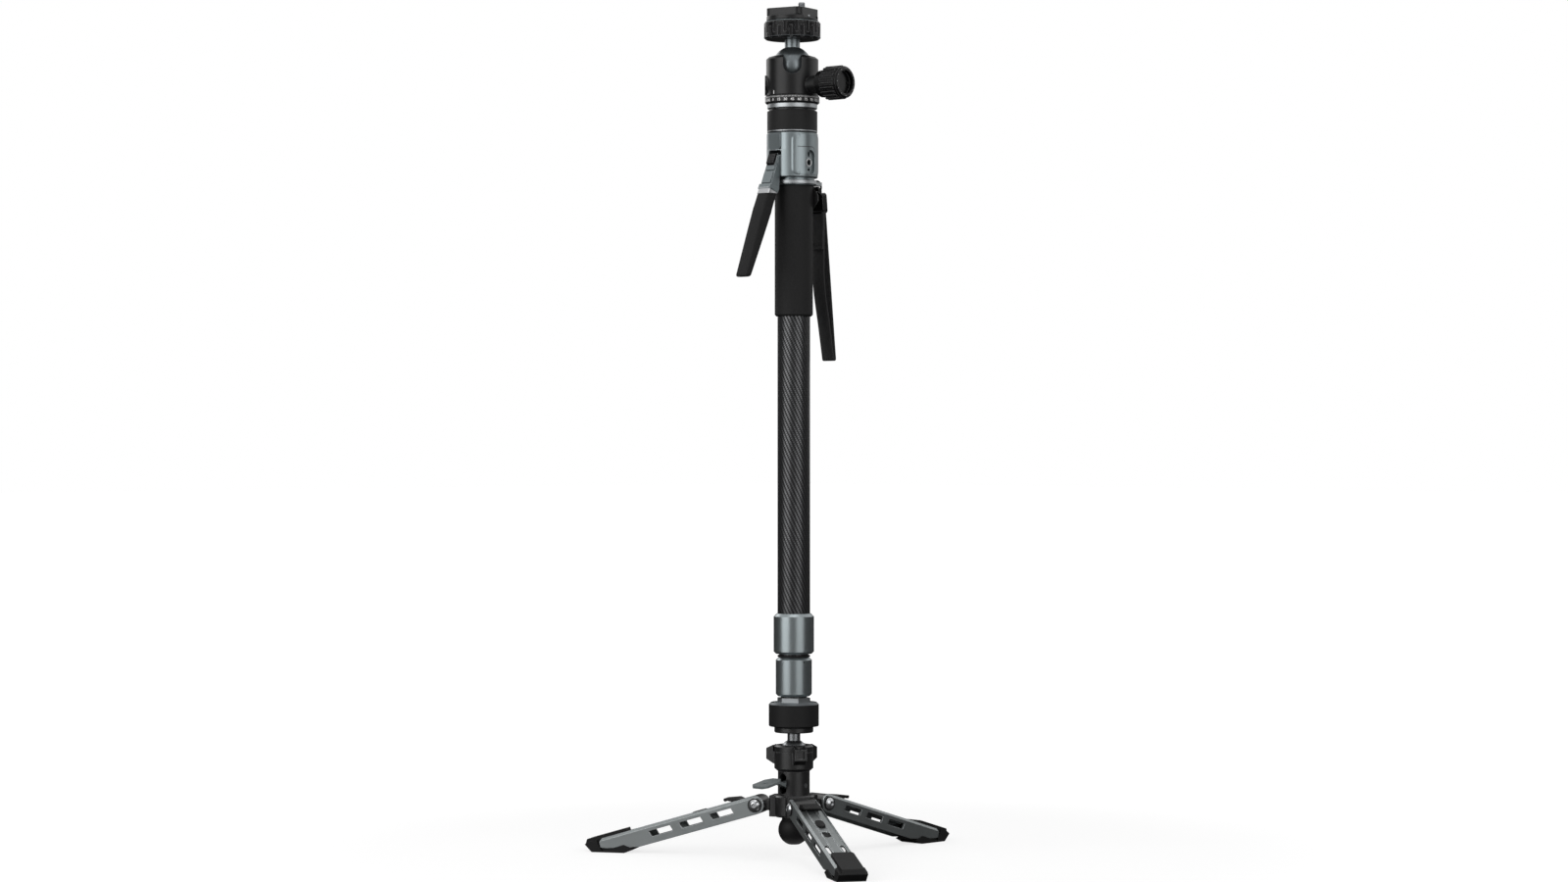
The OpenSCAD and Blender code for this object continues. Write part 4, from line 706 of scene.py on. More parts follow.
def ribbon(line, width, thickness, place):
    """A flat band along a line of (out, height) points, with its own map for the weave."""
    shape = rounded_outline(width, thickness, thickness * WEB_ROUND, 4)
    bm = bmesh.new()
    cloth = bm.loops.layers.uv.new("cloth")
    rows = []
    run = [0.0]
    for a, b in zip(line, line[1:]):
        run.append(run[-1] + (Vector(b) - Vector(a)).length)
    for i, (x, z) in enumerate(line):
        before = Vector(line[max(i - 1, 0)])
        after = Vector(line[min(i + 1, len(line) - 1)])
        ahead = (after - before).normalized()
        side = Vector((ahead.y, 0, -ahead.x))
        rows.append([bm.verts.new(place @ (Vector((x, p.x, z)) + side * p.y)) for p in shape])
    count = len(shape)
    for r in range(len(rows) - 1):
        for i in range(count):
            j = (i + 1) % count
            face = bm.faces.new((rows[r][i], rows[r][j], rows[r + 1][j], rows[r + 1][i]))
            for loop, (row, k) in zip(face.loops, ((r, i), (r, j), (r + 1, j), (r + 1, i))):
                loop[cloth].uv = (shape[k].x, run[row])
    bm.faces.new(rows[0][::-1])
    bm.faces.new(rows[-1])
    bmesh.ops.recalc_face_normals(bm, faces=bm.faces)
    return close_mesh(bm, "ribbon")


def make_strap():
    loop = ribbon(strap_line(), WEB_W, WEB_T, STRAP_PLACE)
    webbing = make_piece("strap_woven", loop, NYLON_WEBBING, "strap")
    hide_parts("strap_webbing")
    inner = inner_layer()
    first, last = int(len(inner) * DOUBLED_FROM), int(len(inner) * DOUBLED_TO)
    doubled = [(x - WEB_T, z) for x, z in inner[first:last]]
    sewn_end = ribbon(doubled, WEB_W, WEB_T, STRAP_PLACE)
    make_piece("strap_doubled_end", sewn_end, NYLON_WEBBING, "strap")
    edge = WEB_W / 2 - STITCH_INSET
    face = [(x - WEB_T * STITCH_LIFT, z) for x, z in doubled[1:-1]]
    down = [STRAP_PLACE @ Vector((x, edge, z)) for x, z in face]
    up = [STRAP_PLACE @ Vector((x, -edge, z)) for x, z in face[::-1]]
    facing = (STRAP_PLACE.to_3x3() @ Vector((-1, 0, 0)))[:]
    thread = stitches_along(down + up + down[:1], facing, THREAD_BLACK)
    make_piece("strap_stitches", thread, THREAD_BLACK, "strap")
    neck = block(NECK_SIZE, STRAP_PLACE @ Matrix.Translation(NECK_AT))
    make_piece("slider_neck", neck, PLAIN_RUBBER, "strap")


# Lever: the moulded rubber sleeve, with a step where the hand's hold begins, and the band above it

LEVER_SPLAY = math.radians(21.7)
LEVER_PLACE = (
    Matrix.Translation(joint_place("lever_squeeze"))
    @ Matrix.Rotation(-QUARTER, 4, "Z")
    @ Matrix.Rotation(QUARTER - LEVER_SPLAY, 4, "Y")
)
SLEEVE_MID = 0.9 * MM
SLEEVE_W = 14 * MM
SLEEVE_STEP = 48 * MM
SLEEVE_STEP_RUN = 1.2 * MM
SLEEVE_STEP_DEPTH = 0.15 * MM
SLEEVE_CORNER = 1.7 * MM
SLEEVE_STATIONS = 40
SLEEVE_END = 2 * MM
# How far the sleeve draws in at its start, and then its rounded end: places back from the end, and how far
# it draws in there
SLEEVE_TUCK = -0.5 * MM
SLEEVE_TIP = [(0.9 * MM, -0.35 * MM), (0.25 * MM, -0.9 * MM), (0.0, -1.7 * MM)]
# Where the outline begins to slant, as a share of the way from the lever's pivot to the sleeve's end
SLANT_FROM = 0.8
BAND_HALF = 5.95 * MM
BAND_W = 14.8 * MM
BAND_L = 1.5 * MM
BAND_CORNER = 1.4 * MM
# Places along the sleeve and half its thickness there
SLEEVE_SHAPE = [(31 * MM, 5.9 * MM), (48 * MM, 6.2 * MM), (73 * MM, 5.35 * MM), (116.5 * MM, 3.4 * MM)]


def sleeve_half(u):
    """Half the sleeve's thickness at a place along it."""
    for (a, low), (b, high) in zip(SLEEVE_SHAPE, SLEEVE_SHAPE[1:]):
        if u <= b:
            return low + (high - low) * (u - a) / (b - a)
    return SLEEVE_SHAPE[-1][1]


def make_sleeve():
    start, end = SLEEVE_SHAPE[0][0], SLEEVE_SHAPE[-1][0]
    run = end - start - SLEEVE_END
    body = [start + run * i / SLEEVE_STATIONS for i in range(SLEEVE_STATIONS + 1)]
    stations = [(start, SLEEVE_TUCK)] + [(u, 0.0) for u in body]
    stations += [(end - back, swell) for back, swell in SLEEVE_TIP]
    rings = []
    for u, swell in stations:
        hold = min(max((u - SLEEVE_STEP) / SLEEVE_STEP_RUN, 0.0), 1.0)
        half = sleeve_half(u) + swell - SLEEVE_STEP_DEPTH * (1 - hold)
        width = SLEEVE_W + 2 * (swell - SLEEVE_STEP_DEPTH * (1 - hold))
        share = min(max((u / end - SLANT_FROM) / (1 - SLANT_FROM), 0.0), 1.0)
        slant = math.tan(LEVER_SPLAY) * share
        outline = rounded_outline(width, 2 * half, min(SLEEVE_CORNER, half * 0.8))
        rings.append([(u + p.y * slant, p.x, SLEEVE_MID + p.y) for p in outline])
    moulded = skin(rings, place=LEVER_PLACE)
    sleeve = make_piece("lever_sleeve_moulded", moulded, GRIP_RUBBER, "lever")
    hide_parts("lever_sleeve")


def make_lever_band():
    """The metal band above the sleeve, with its lower edge cut level."""
    start = SLEEVE_SHAPE[0][0]
    outline = rounded_outline(BAND_W, 2 * BAND_HALF, BAND_CORNER)
    high_edge = [(start - BAND_L, p.x, SLEEVE_MID + p.y) for p in outline]
    slope = math.tan(LEVER_SPLAY)
    low_edge = [(start + (p.y + BAND_HALF) * slope, p.x, SLEEVE_MID + p.y) for p in outline]
    band = skin([high_edge, low_edge], place=LEVER_PLACE)
    make_piece("lever_band", band, SCREW_STEEL, "lever")


# Ball head: pan scale, index line, and the knob's dots

HEAD_AXIS = joint_place("head_pan")
HEAD_R = 24 * MM
SCALE_R = 25 * MM
SCALE_ZERO = math.radians(270)
SCALE_STEP = 15
TICKS_PER_STEP = 5
PRINT_T = 0.05 * MM
FIGURE_SIZE = 3.5 * MM
FIGURE_BOLD = 0.07 * MM
FIGURE_UP = 1.5 * MM
TICK_DOWN = 1.55 * MM
TICK_SIZE = (2 * PRINT_T, 0.38 * MM, 1.3 * MM)
INDEX_UP = 2.2 * MM
INDEX_SIZE = (2 * PRINT_T, 0.75 * MM, 3.2 * MM)
# The knob's outer face, out from the head's axis, and the dots on it
KNOB_FACE = 63.5 * MM
DOT_COUNT = 12
DOT_RING_R = 12.4 * MM
DOT_SIZE = (0.7 * MM, 0.7 * MM, 0.24 * MM)


def on_head_axis(height):
    return Matrix.Translation((HEAD_AXIS.x, HEAD_AXIS.y, height))


def ring_word(word, angle, radius, height):
    """Figures wrapped round a vertical cylinder and read from outside."""
    text = bpy.data.curves.new("figures", "FONT")
    text.body = word
    text.size = FIGURE_SIZE
    text.align_x = "CENTER"
    text.extrude = PRINT_T
    text.offset = FIGURE_BOLD
    text.resolution_u = 3
    mesh = plain_mesh(add_object("figures", text))
    for vertex in mesh.vertices:
        a = angle + vertex.co.x / radius
        reach = radius + vertex.co.z
        x, y = HEAD_AXIS.x + reach * math.cos(a), HEAD_AXIS.y + reach * math.sin(a)
        vertex.co = (x, y, height + vertex.co.y)
    return mesh


def join_meshes(meshes):
    bm = bmesh.new()
    for mesh in meshes:
        bm.from_mesh(mesh)
        bpy.data.meshes.remove(mesh)
    bmesh.ops.remove_doubles(bm, verts=bm.verts, dist=WELD)
    return close_mesh(bm, "joined")


def make_scale():
    low, high = (corner[2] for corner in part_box("pan_scale_ring"))
    steps = 360 // SCALE_STEP
    words = []
    for i in range(steps):
        angle = SCALE_ZERO + math.radians(i * SCALE_STEP)
        words.append(ring_word(str(i * SCALE_STEP), angle, SCALE_R, low + FIGURE_UP))
    make_piece("pan_figures", join_meshes(words), PRINT_WHITE, "section_1")
    place = on_head_axis(high - TICK_DOWN) @ Matrix.Rotation(SCALE_ZERO, 4, "Z")
    ticks = ring_of_marks(steps * TICKS_PER_STEP, SCALE_R, TICK_SIZE, PRINT_WHITE, place)
    make_piece("pan_ticks", ticks, PRINT_WHITE, "section_1")
    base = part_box("head_housing")[0][2]
    front = on_head_axis(base + INDEX_UP) @ Matrix.Rotation(SCALE_ZERO, 4, "Z")
    index_line = block(INDEX_SIZE, front @ Matrix.Translation((HEAD_R, 0, 0)))
    make_piece("pan_index_line", index_line, PRINT_WHITE, "head")


def make_knob_dots():
    axis = Vector(JOINTS["knob_turn"]["axis"])
    middle = Vector((HEAD_AXIS.x, HEAD_AXIS.y, joint_place("knob_turn").z)) + axis * KNOB_FACE
    place = Matrix.Translation(middle) @ axis.to_track_quat("Z", "Y").to_matrix().to_4x4()
    dots = ring_of_marks(DOT_COUNT, DOT_RING_R, DOT_SIZE, KNOB_DOT, place)
    make_piece("knob_dots", dots, KNOB_DOT, "knob")


# Camera screw: a quarter-inch thread above the plate

THREAD_R = 3.175 * MM
THREAD_ROOT = 2.6 * MM
THREAD_PITCH = 1.27 * MM
THREAD_TAPER = 0.9 * MM
THREAD_ABOVE = 0.05 * MM
# How much steeper the flanks are than a plain zigzag, which leaves a flat on the crest
CREST_FLAT = 1.25
THREAD_STEPS = 56
SCREW_SIDES = 64
SCREW_HEAD_H = 4 * MM
SCREW_NECK_R = 2.7 * MM
SCREW_EDGE = 0.3 * MM


def make_camera_screw():
    low, high = (Vector(corner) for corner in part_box("camera_screw"))
    centre = (low + high) / 2
    plate_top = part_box("quick_plate")[1][2]
    head_r = (high.x - low.x) / 2
    head_top = low.z + SCREW_HEAD_H

    def ring(radius, z):
        return [
            (centre.x + radius(a, z) * math.cos(a), centre.y + radius(a, z) * math.sin(a), z)
            for a in full_turn(SCREW_SIDES)
        ]

    def flat(radius):
        return lambda angle, z: radius

    def thread(angle, z):
        wave = ((z - plate_top) / THREAD_PITCH - angle / (2 * math.pi)) % 1.0
        crest = min(1.0, CREST_FLAT * (1 - abs(2 * wave - 1)))
        taper = min(1.0, max(0.0, (high.z - z) / THREAD_TAPER))
        return THREAD_ROOT + (THREAD_R - THREAD_ROOT) * min(crest, taper)

    rows = [ring(flat(head_r - SCREW_EDGE), low.z), ring(flat(head_r), low.z + SCREW_EDGE)]
    rows += [ring(flat(head_r), head_top - SCREW_EDGE), ring(flat(head_r - SCREW_EDGE), head_top)]
    start = plate_top + THREAD_ABOVE
    rows += [ring(flat(SCREW_NECK_R), head_top), ring(flat(SCREW_NECK_R), start)]
    rise = (high.z - start) / THREAD_STEPS
    rows += [ring(thread, start + rise * i) for i in range(THREAD_STEPS + 1)]
    screw = make_piece("camera_screw_threaded", skin(rows), POLISHED_STEEL, "screw")
    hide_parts("camera_screw")


# Handle block: parting line, threaded insert, the cover's bevel and the rim of the lever's slot

BLOCK_R = 23.5 * MM
COVER_R = 23.8 * MM
COVER_HALF = (16.5 * MM, 18.5 * MM)
COVER_CORNER = 5 * MM
SEAM_Z = 640.8 * MM
SEAM_W = 0.55 * MM
SEAM_DEPTH = 0.3 * MM
SEAM_PROUD = 0.02 * MM
# The parting line on the side cover, as (azimuth in degrees, height above the seam)
SEAM_ROUTE = [
    (-43.0, 0.0), (-20.0, 0.0), (0.0, 0.0), (7.0, -0.2 * MM), (11.5, -1.4 * MM), (14.6, -4.2 * MM),
]


def make_seam():
    route = spline(SEAM_ROUTE, 10)
    reach = COVER_R + SEAM_PROUD
    rings = []
    for i, p in enumerate(route):
        after = route[min(i + 1, len(route) - 1)] - route[max(i - 1, 0)]
        ahead = Vector((math.radians(after.x) * reach, after.y)).normalized()
        square = Vector((-ahead.y, ahead.x)) * SEAM_W / 2
        ring = []
        for side, depth in ((1, 0.0), (-1, 0.0), (-1, SEAM_DEPTH), (1, SEAM_DEPTH)):
            a = math.radians(p.x) + side * square.x / reach
            r = reach - depth
            z = SEAM_Z + p.y + side * square.y
            ring.append((HEAD_AXIS.x + r * math.cos(a), HEAD_AXIS.y + r * math.sin(a), z))
        rings.append(ring)
    make_piece("block_parting_line", skin(rings), SEAM_DARK, "section_1")


INSERT_SIDES = 48
# The insert's section: outside the hole, and height above its mouth
INSERT_SHAPE = [(0.1 * MM, -0.05 * MM), (1.25 * MM, -0.05 * MM), (0.9 * MM, 0.55 * MM), (0.4 * MM, 0.55 * MM)]


def make_insert():
    """The bright rim of the threaded insert in the accessory hole."""
    mount = next(m for m in frame["record"]["mounts"] if m["name"] == "accessory_hole")
    mouth = Vector(mount["pos_m"]) + Vector(mount["axis"]) * mount["dims"]["length_mm"] / 2 * MM
    place = Matrix.Translation(mouth) @ Matrix.Rotation(QUARTER, 4, "Y")
    hole = mount["dims"]["r_mm"] * MM
    outline = [(hole + out, height) for out, height in INSERT_SHAPE]
    make_piece("accessory_insert", lathe(outline, place, INSERT_SIDES), NICKEL, "section_1")


# The bevel's section: millimetres outside the cover's outline, and radius about the block's axis
COVER_BEVEL = [
    (0.9, BLOCK_R - 0.06 * MM), (-0.9, COVER_R + 0.28 * MM), (-3.6, COVER_R + 0.01 * MM),
    (-3.6, COVER_R - 0.3 * MM), (0.9, BLOCK_R - 0.5 * MM),
]
SLOT_HALF = 7.75 * MM
SLOT_LOW, SLOT_TOP = 614.2 * MM, 637.8 * MM
SLOT_CORNER = 1.2 * MM
SLOT_RIM_R = 0.45 * MM
SLOT_STEPS = 6


def make_cover_bevel():
    """The sloped edge round the side cover, on the block's round side."""
    low, high = (corner[2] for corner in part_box("side_cover"))
    middle_z = (low + high) / 2
    columns = []
    for out, radius in COVER_BEVEL:
        width, height = (2 * (half + out * MM) for half in COVER_HALF)
        points = rounded_outline(width, height, COVER_CORNER + out * MM, 8)
        columns.append([
            (HEAD_AXIS.x + math.sqrt(radius**2 - p.x**2), HEAD_AXIS.y + p.x, middle_z + p.y) for p in points
        ])
    mesh = skin(list(zip(*columns)), loop=True)
    make_piece("cover_bevel", mesh, GREY_ANODISED, "section_1")


def make_slot_rim():
    """The rounded edge of the lever's slot."""

    def on_block(x, z):
        return Vector((HEAD_AXIS.x + x, HEAD_AXIS.y - math.sqrt(BLOCK_R**2 - x**2), z))

    rise = (SLOT_TOP - SLOT_CORNER - SLOT_LOW) / SLOT_STEPS
    path = [on_block(-SLOT_HALF, SLOT_LOW + rise * i) for i in range(SLOT_STEPS)]
    for i in range(SLOT_STEPS):
        a = QUARTER * i / (SLOT_STEPS - 1)
        x = SLOT_CORNER * (1 - math.cos(a)) - SLOT_HALF
        path.append(on_block(x, SLOT_TOP - SLOT_CORNER * (1 - math.sin(a))))
    half_top = SLOT_HALF - SLOT_CORNER
    path += [on_block(half_top * (i / SLOT_STEPS - 1), SLOT_TOP) for i in range(1, SLOT_STEPS + 1)]
    path += [Vector((2 * HEAD_AXIS.x - p.x, p.y, p.z)) for p in path[-2::-1]]
    make_piece("slot_rim", tube_along(path, SLOT_RIM_R), GREY_ANODISED, "section_1")


# Clamp: the stop pin and the ring's bare edges

JAW_PIN_TURN = math.radians(355)
JAW_PIN_REACH = 23.6 * MM
JAW_PIN_DOWN = 1.7 * MM
# The pin's outline, as (radius, height)
JAW_PIN_SHAPE = [
    (0, -0.6 * MM), (1.1 * MM, -0.6 * MM), (1.1 * MM, 0.2 * MM), (0.7 * MM, 0.5 * MM), (0, 0.6 * MM),
]
CLAMP_BEVEL = 1.5 * MM
# The bare edges: their wires, and how far they lie inside the ring's top and side
UPPER_WIRE, LOWER_WIRE = 0.3 * MM, 0.25 * MM
EDGE_INSET = 0.1 * MM


def make_jaw_pin():
    """The small bright stop pin that shows under the plate."""
    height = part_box("clamp_base")[1][2] - JAW_PIN_DOWN
    place = on_head_axis(height) @ Matrix.Rotation(JAW_PIN_TURN, 4, "Z")
    place = place @ Matrix.Translation((JAW_PIN_REACH, 0, 0)) @ Matrix.Rotation(QUARTER, 4, "Y")
    make_piece("jaw_pin", lathe(JAW_PIN_SHAPE, place, PIN_SIDES), POLISHED_STEEL, "platform")


def make_clamp_rims():
    """The two bare edges of the clamp ring, where its bevels begin: the upper one in lighter grey as painted light
    and the lower one in darker grey as painted shade.
    """
    low, high = (Vector(corner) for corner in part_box("clamp_ring"))
    radius = (high.x - low.x) / 2
    place = on_head_axis(0)
    upper = lathe(torus_outline(radius - CLAMP_BEVEL, UPPER_WIRE, high.z - EDGE_INSET), place)
    lower = lathe(torus_outline(radius - EDGE_INSET, LOWER_WIRE, low.z + CLAMP_BEVEL), place)
    # The same bare edge in two tones, lighter above and darker below: painted light and painted shade
    make_piece("clamp_upper_edge_lit", upper, GREY_ANODISED, "clamp")
    make_piece("clamp_lower_edge_shaded", lower, DARK_ANODISED, "clamp")


# Return springs, built at one length, though the real ones shorten as the plunger or the rod rises: node, joint,
# body, turns, wire radius

SPRINGS = [
    ("plunger_spring", "brake_lift", "base", 3, 0.35 * MM),
    ("lever_spring", "rod_lift", "section_1", 5, 0.5 * MM),
]
STEPS_PER_TURN = 24


def make_springs():
    for node, joint, body, turns, wire in SPRINGS:
        low, high = (Vector(corner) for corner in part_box(node))
        radius = (high.x - low.x) / 2 - wire
        length = high.z - low.z
        steps = STEPS_PER_TURN * turns
        points = []
        for i in range(steps + 1):
            a = 2 * math.pi * turns * i / steps
            rise = wire + (length - 2 * wire) * i / steps
            points.append(Vector((radius * math.cos(a), radius * math.sin(a), low.z + rise)))
        coil = make_piece(node + "_coil", tube_along(points, wire), POLISHED_STEEL, body)
        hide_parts(node)
        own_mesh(coil)


# Mast: O-ring, the pin in the collar, the metal rim of the lower lock ring, and a bright band at the foot of the
# upper one that is a painted highlight

O_RING_R = 14.3 * MM
O_RING_WIRE = 0.85 * MM
O_RING_UP = 0.9 * MM
COLLAR_PIN_TURN = math.radians(349)
COLLAR_PIN_REACH = 16.62 * MM
COLLAR_PIN_DOWN = 4.4 * MM
COLLAR_PIN_SHAPE = [(0, -0.3 * MM), (0.75 * MM, -0.3 * MM), (0.7 * MM, 0.08 * MM), (0, 0.08 * MM)]
# The lower ring's rim: where its top face begins, where the chamfer does, and its outer edge
RIM_INNER, RIM_EDGE, RIM_OUTER = 20 * MM, 21.1 * MM, 23.1 * MM
# The bright band at the upper ring's foot, from the ring's foot: it stands for the highlight on the ring's bottom
# chamfer, a painted highlight
UPPER_GLINT_FROM, UPPER_GLINT_TO = 0.6 * MM, 1.5 * MM
RIM_PROUD = 0.03 * MM
RIM_SUNK = 0.2 * MM


def make_mast_trim():
    collar_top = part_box("collar_2")[1][2]
    o_ring = lathe(torus_outline(O_RING_R, O_RING_WIRE, collar_top + O_RING_UP))
    make_piece("o_ring", o_ring, PLAIN_RUBBER, "section_2")
    spot = Matrix.Translation((COLLAR_PIN_REACH, 0, collar_top - COLLAR_PIN_DOWN))
    pin_at = Matrix.Rotation(COLLAR_PIN_TURN, 4, "Z") @ spot @ Matrix.Rotation(QUARTER, 4, "Y")
    pin = lathe(COLLAR_PIN_SHAPE, pin_at, PIN_SIDES)
    make_piece("collar_pin", pin, SEAM_DARK, "section_2")


def make_ring_rims():
    """The metal that shows at the chamfer of the lower ring, and a bright band at the foot of the upper one that
    stands for the highlight on its bottom chamfer: a painted highlight.
    """
    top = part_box("lower_lock_ring")[1][2]
    foot = top - (RIM_OUTER - RIM_EDGE)
    chamfer = [
        (RIM_INNER, top - RIM_SUNK), (RIM_EDGE - RIM_SUNK / 2, top - RIM_SUNK),
        (RIM_OUTER - RIM_SUNK, foot - RIM_SUNK / 2), (RIM_OUTER + RIM_PROUD, foot),
        (RIM_EDGE + RIM_PROUD / 2, top + RIM_PROUD), (RIM_INNER, top + RIM_PROUD),
    ]
    make_piece("lower_ring_rim", lathe(chamfer), DARK_ANODISED, "lower_lock")
    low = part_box("upper_lock_ring")[0][2]
    inside, outside = RIM_OUTER - RIM_SUNK, RIM_OUTER + RIM_PROUD
    start, end = low + UPPER_GLINT_FROM, low + UPPER_GLINT_TO
    band = [(inside, start), (outside, start), (outside, end), (inside, end)]
    # A bright metal band standing for the highlight on the upper ring's bottom chamfer: a painted highlight
    make_piece("upper_ring_glint_band", lathe(band, on_head_axis(0)), BRIGHT_TURNED, "upper_lock")


# Legs: a rubber bumper in the first hole of each web, and a sunk plug in the second

# The direction of each leg, in degrees
LEG_AZIMUTHS = {"1": 90, "2": 210, "3": 330}
LEG_SLOPE = math.radians(16.4)
BUMPER_AT = 56 * MM
PLUG_AT = 78 * MM
LEG_WEB_LOW = 5.0 * MM
BUMPER_TOP = 9.2 * MM
PLUG_TOP = 5.9 * MM
HOLE_L, HOLE_W = 13 * MM, 7 * MM
# Layers of the bumper and the plug: millimetres outside the hole's outline, and height
BUMPER_LAYERS = [
    (-0.15, LEG_WEB_LOW - 0.4 * MM), (-0.1, LEG_WEB_LOW + 2.0 * MM), (0.7, LEG_WEB_LOW + 2.05 * MM),
    (0.7, BUMPER_TOP - 0.7 * MM), (0.2, BUMPER_TOP - 0.15 * MM), (-0.6, BUMPER_TOP),
]
PLUG_LAYERS = [(-0.1, LEG_WEB_LOW - 0.4 * MM), (-0.1, PLUG_TOP)]


def pill_outline(length, width, per_end=10):
    points = []
    for end in (1, -1):
        for i in range(per_end):
            a = math.pi * (i / (per_end - 1) - 0.5)
            x = (length - width) / 2 + width / 2 * math.cos(a)
            points.append(Vector((end * x, end * width / 2 * math.sin(a))))
    return points


def make_bumpers():
    for number, azimuth in LEG_AZIMUTHS.items():
        pivot = joint_place("leg_fold_" + number)
        place = Matrix.Translation(pivot) @ Matrix.Rotation(math.radians(azimuth), 4, "Z")
        place = place @ Matrix.Rotation(LEG_SLOPE, 4, "Y")
        meshes = []
        for hole, layers in ((BUMPER_AT, BUMPER_LAYERS), (PLUG_AT, PLUG_LAYERS)):
            rings = []
            for out, z in layers:
                outline = pill_outline(HOLE_L + 2 * out * MM, HOLE_W + 2 * out * MM)
                rings.append([(hole + p.x, p.y, z) for p in outline])
            meshes.append(skin(rings, place=place))
        make_piece("leg_%s_bumper" % number, join_meshes(meshes), PLAIN_RUBBER, "leg_" + number)


make_strap()
make_sleeve()
make_lever_band()
make_scale()
make_knob_dots()
make_camera_screw()
make_seam()
make_insert()
make_cover_bevel()
make_slot_rim()
make_jaw_pin()
make_clamp_rims()
make_springs()
make_mast_trim()
make_ring_rims()
make_bumpers()

# Camera: the photograph's own view, level, from between the lever and the accessory hole
CAMERA_DISTANCE = 3.25
CAMERA_LENS = 81.0
CAMERA_SENSOR = 36.0
CAMERA_SHIFT = -9.05 * MM
CAMERA_HEIGHT = 371.3 * MM
CAMERA_TURN = math.radians(45)


def make_camera():
    lens = bpy.data.cameras.new("photo_view")
    lens.lens = CAMERA_LENS
    lens.sensor_width = CAMERA_SENSOR
    camera = add_object("photo_view", lens)
    back = Vector((math.sin(CAMERA_TURN), -math.cos(CAMERA_TURN), 0)) * CAMERA_DISTANCE
    aside = Vector((math.cos(CAMERA_TURN), math.sin(CAMERA_TURN), 0)) * CAMERA_SHIFT
    camera.location = back + aside + Vector((0, 0, CAMERA_HEIGHT))
    camera.rotation_euler = (QUARTER, 0, CAMERA_TURN)
    bpy.context.scene.camera = camera


def seen_rays(graph):
    """1 where a ray comes from the camera, from a mirror surface or through glass."""
    path = graph.add("ShaderNodeLightPath")
    seen = graph.math("MAXIMUM", path.outputs["Is Camera Ray"], path.outputs["Is Glossy Ray"])
    return graph.math("MAXIMUM", seen, path.outputs["Is Transmission Ray"])


WORLD_FILL = 0.16


def make_world():
    world = bpy.data.worlds.new("studio")
    world.use_nodes = True
    bpy.context.scene.world = world
    g = Graph(world.node_tree)
    background = world.node_tree.nodes["Background"]
    background.inputs["Color"].default_value = (1, 1, 1, 1)
    g.feed(background.inputs["Strength"], g.span(seen_rays(g), WORLD_FILL, 1.0))


FLOOR_Z = CAD_BOX[0][2]
FLOOR_SIZE = 40.0
FLOOR_TONE = 0.3
# The floor glows less near the object, so that the shadow shows, and fades to plain white away from it
GLOW_NEAR = 0.76
FADE_FROM, FADE_TO = 0.35, 1.1
DRAPE_TONE = 0.05
DRAPE_SIDES = 64
# The dark drape, out over the floor and then up: radius and height
DRAPE_LINE = [(0.02, FLOOR_Z + MM), (2.6, FLOOR_Z + MM), (2.6, 1.7)]


def link_stage(name, mesh, material):
    piece = add_object(name, mesh)
    mesh.materials.append(material)
    return piece


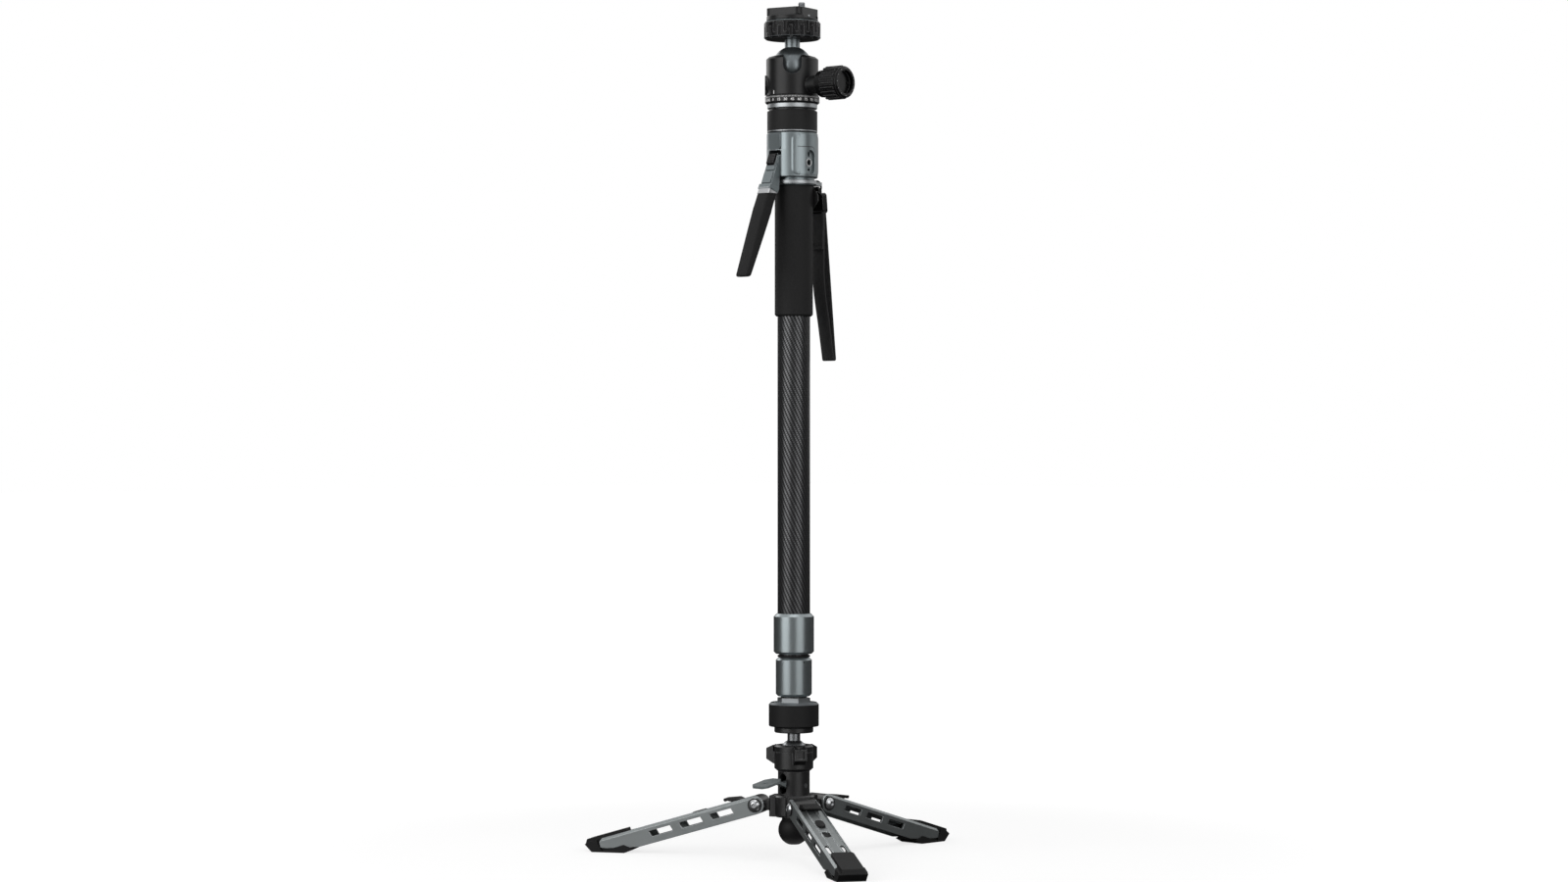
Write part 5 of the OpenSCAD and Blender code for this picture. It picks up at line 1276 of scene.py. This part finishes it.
def make_floor():
    mesh = bpy.data.meshes.new("floor")
    half = FLOOR_SIZE / 2
    corners = [(-half, -half), (half, -half), (half, half), (-half, half)]
    mesh.from_pydata([(x, y, FLOOR_Z) for x, y in corners], [], [(0, 1, 2, 3)])
    material, g, shader = new_finish("pale_floor")
    shader.inputs["Base Color"].default_value = (FLOOR_TONE, FLOOR_TONE, FLOOR_TONE, 1)
    shader.inputs["Roughness"].default_value = 0.9
    shader.inputs["Specular IOR Level"].default_value = 0.0
    place = g.add("ShaderNodeTexCoord").outputs["Object"]
    away = g.add("ShaderNodeVectorMath", {"operation": "LENGTH"}, Vector=place)
    fade = g.add("ShaderNodeMapRange", {"interpolation_type": "SMOOTHSTEP"}, Value=away.outputs["Value"])
    ends = {"From Min": FADE_FROM, "From Max": FADE_TO, "To Min": GLOW_NEAR, "To Max": 1.0}
    for socket, value in ends.items():
        fade.inputs[socket].default_value = value
    glow = g.add("ShaderNodeEmission", Color=(1.0, 1.0, 1.0))
    g.feed(glow.inputs["Strength"], g.math("MULTIPLY", seen_rays(g), fade.outputs["Result"]))
    both = g.add("ShaderNodeAddShader")
    g.feed(both.inputs[0], shader.outputs["BSDF"])
    g.feed(both.inputs[1], glow.outputs["Emission"])
    g.feed(material.node_tree.nodes["Material Output"].inputs["Surface"], both.outputs["Shader"])
    link_stage("floor", mesh, material)


def make_drape():
    """A dark studio drape round the set, which shows only in polished surfaces."""
    turns = full_turn(DRAPE_SIDES)
    rings = [[(r * math.cos(a), r * math.sin(a), z) for a in turns] for r, z in DRAPE_LINE]
    mesh = skin(rings, capped=False)
    mesh.name = "drape"
    material, _, shader = new_finish("dark_drape")
    shader.inputs["Base Color"].default_value = (DRAPE_TONE, DRAPE_TONE, DRAPE_TONE, 1)
    shader.inputs["Roughness"].default_value = 1.0
    drape = link_stage("drape", mesh, material)
    drape.visible_camera = False
    drape.visible_diffuse = False
    drape.visible_transmission = False
    drape.visible_shadow = False


# Soft boxes: name, place, the height on the tube axis that each is aimed at, size and power
LAMPS = [
    ("left_box", (-0.17, -2.0, 0.8), 0.4, (1.8, 1.5), 30),
    ("right_box", (1.97, -0.35, 0.8), 0.4, (1.6, 1.5), 19),
    ("front_fill", (1.51, -1.87, 0.8), 0.4, (1.3, 1.5), 3),
    ("high_right", (1.05, 1.7, 1.15), 0.6, (1.4, 0.9), 6),
    ("back_fill", (-0.3, 2.0, 0.9), 0.4, (1.6, 1.2), 4),
    ("high_left", (-1.74, 0.15, 1.1), 0.4, (1.2, 0.8), 6),
    ("overhead", (0.3, -0.3, 2.2), 0.4, (1.0, 1.0), 7),
]


def make_lights():
    for name, place, aim_z, size, power in LAMPS:
        lamp = bpy.data.lights.new(name, "AREA")
        lamp.shape = "RECTANGLE"
        lamp.size, lamp.size_y = size
        lamp.energy = power
        holder = add_object(name, lamp)
        holder.location = place
        aim = Vector((0, 0, aim_z)) - Vector(place)
        holder.rotation_euler = aim.to_track_quat("-Z", "Y").to_euler()
        holder.visible_camera = False


make_camera()
make_world()
make_floor()
make_drape()
make_lights()
bpy.context.scene.view_settings.view_transform = "Standard"
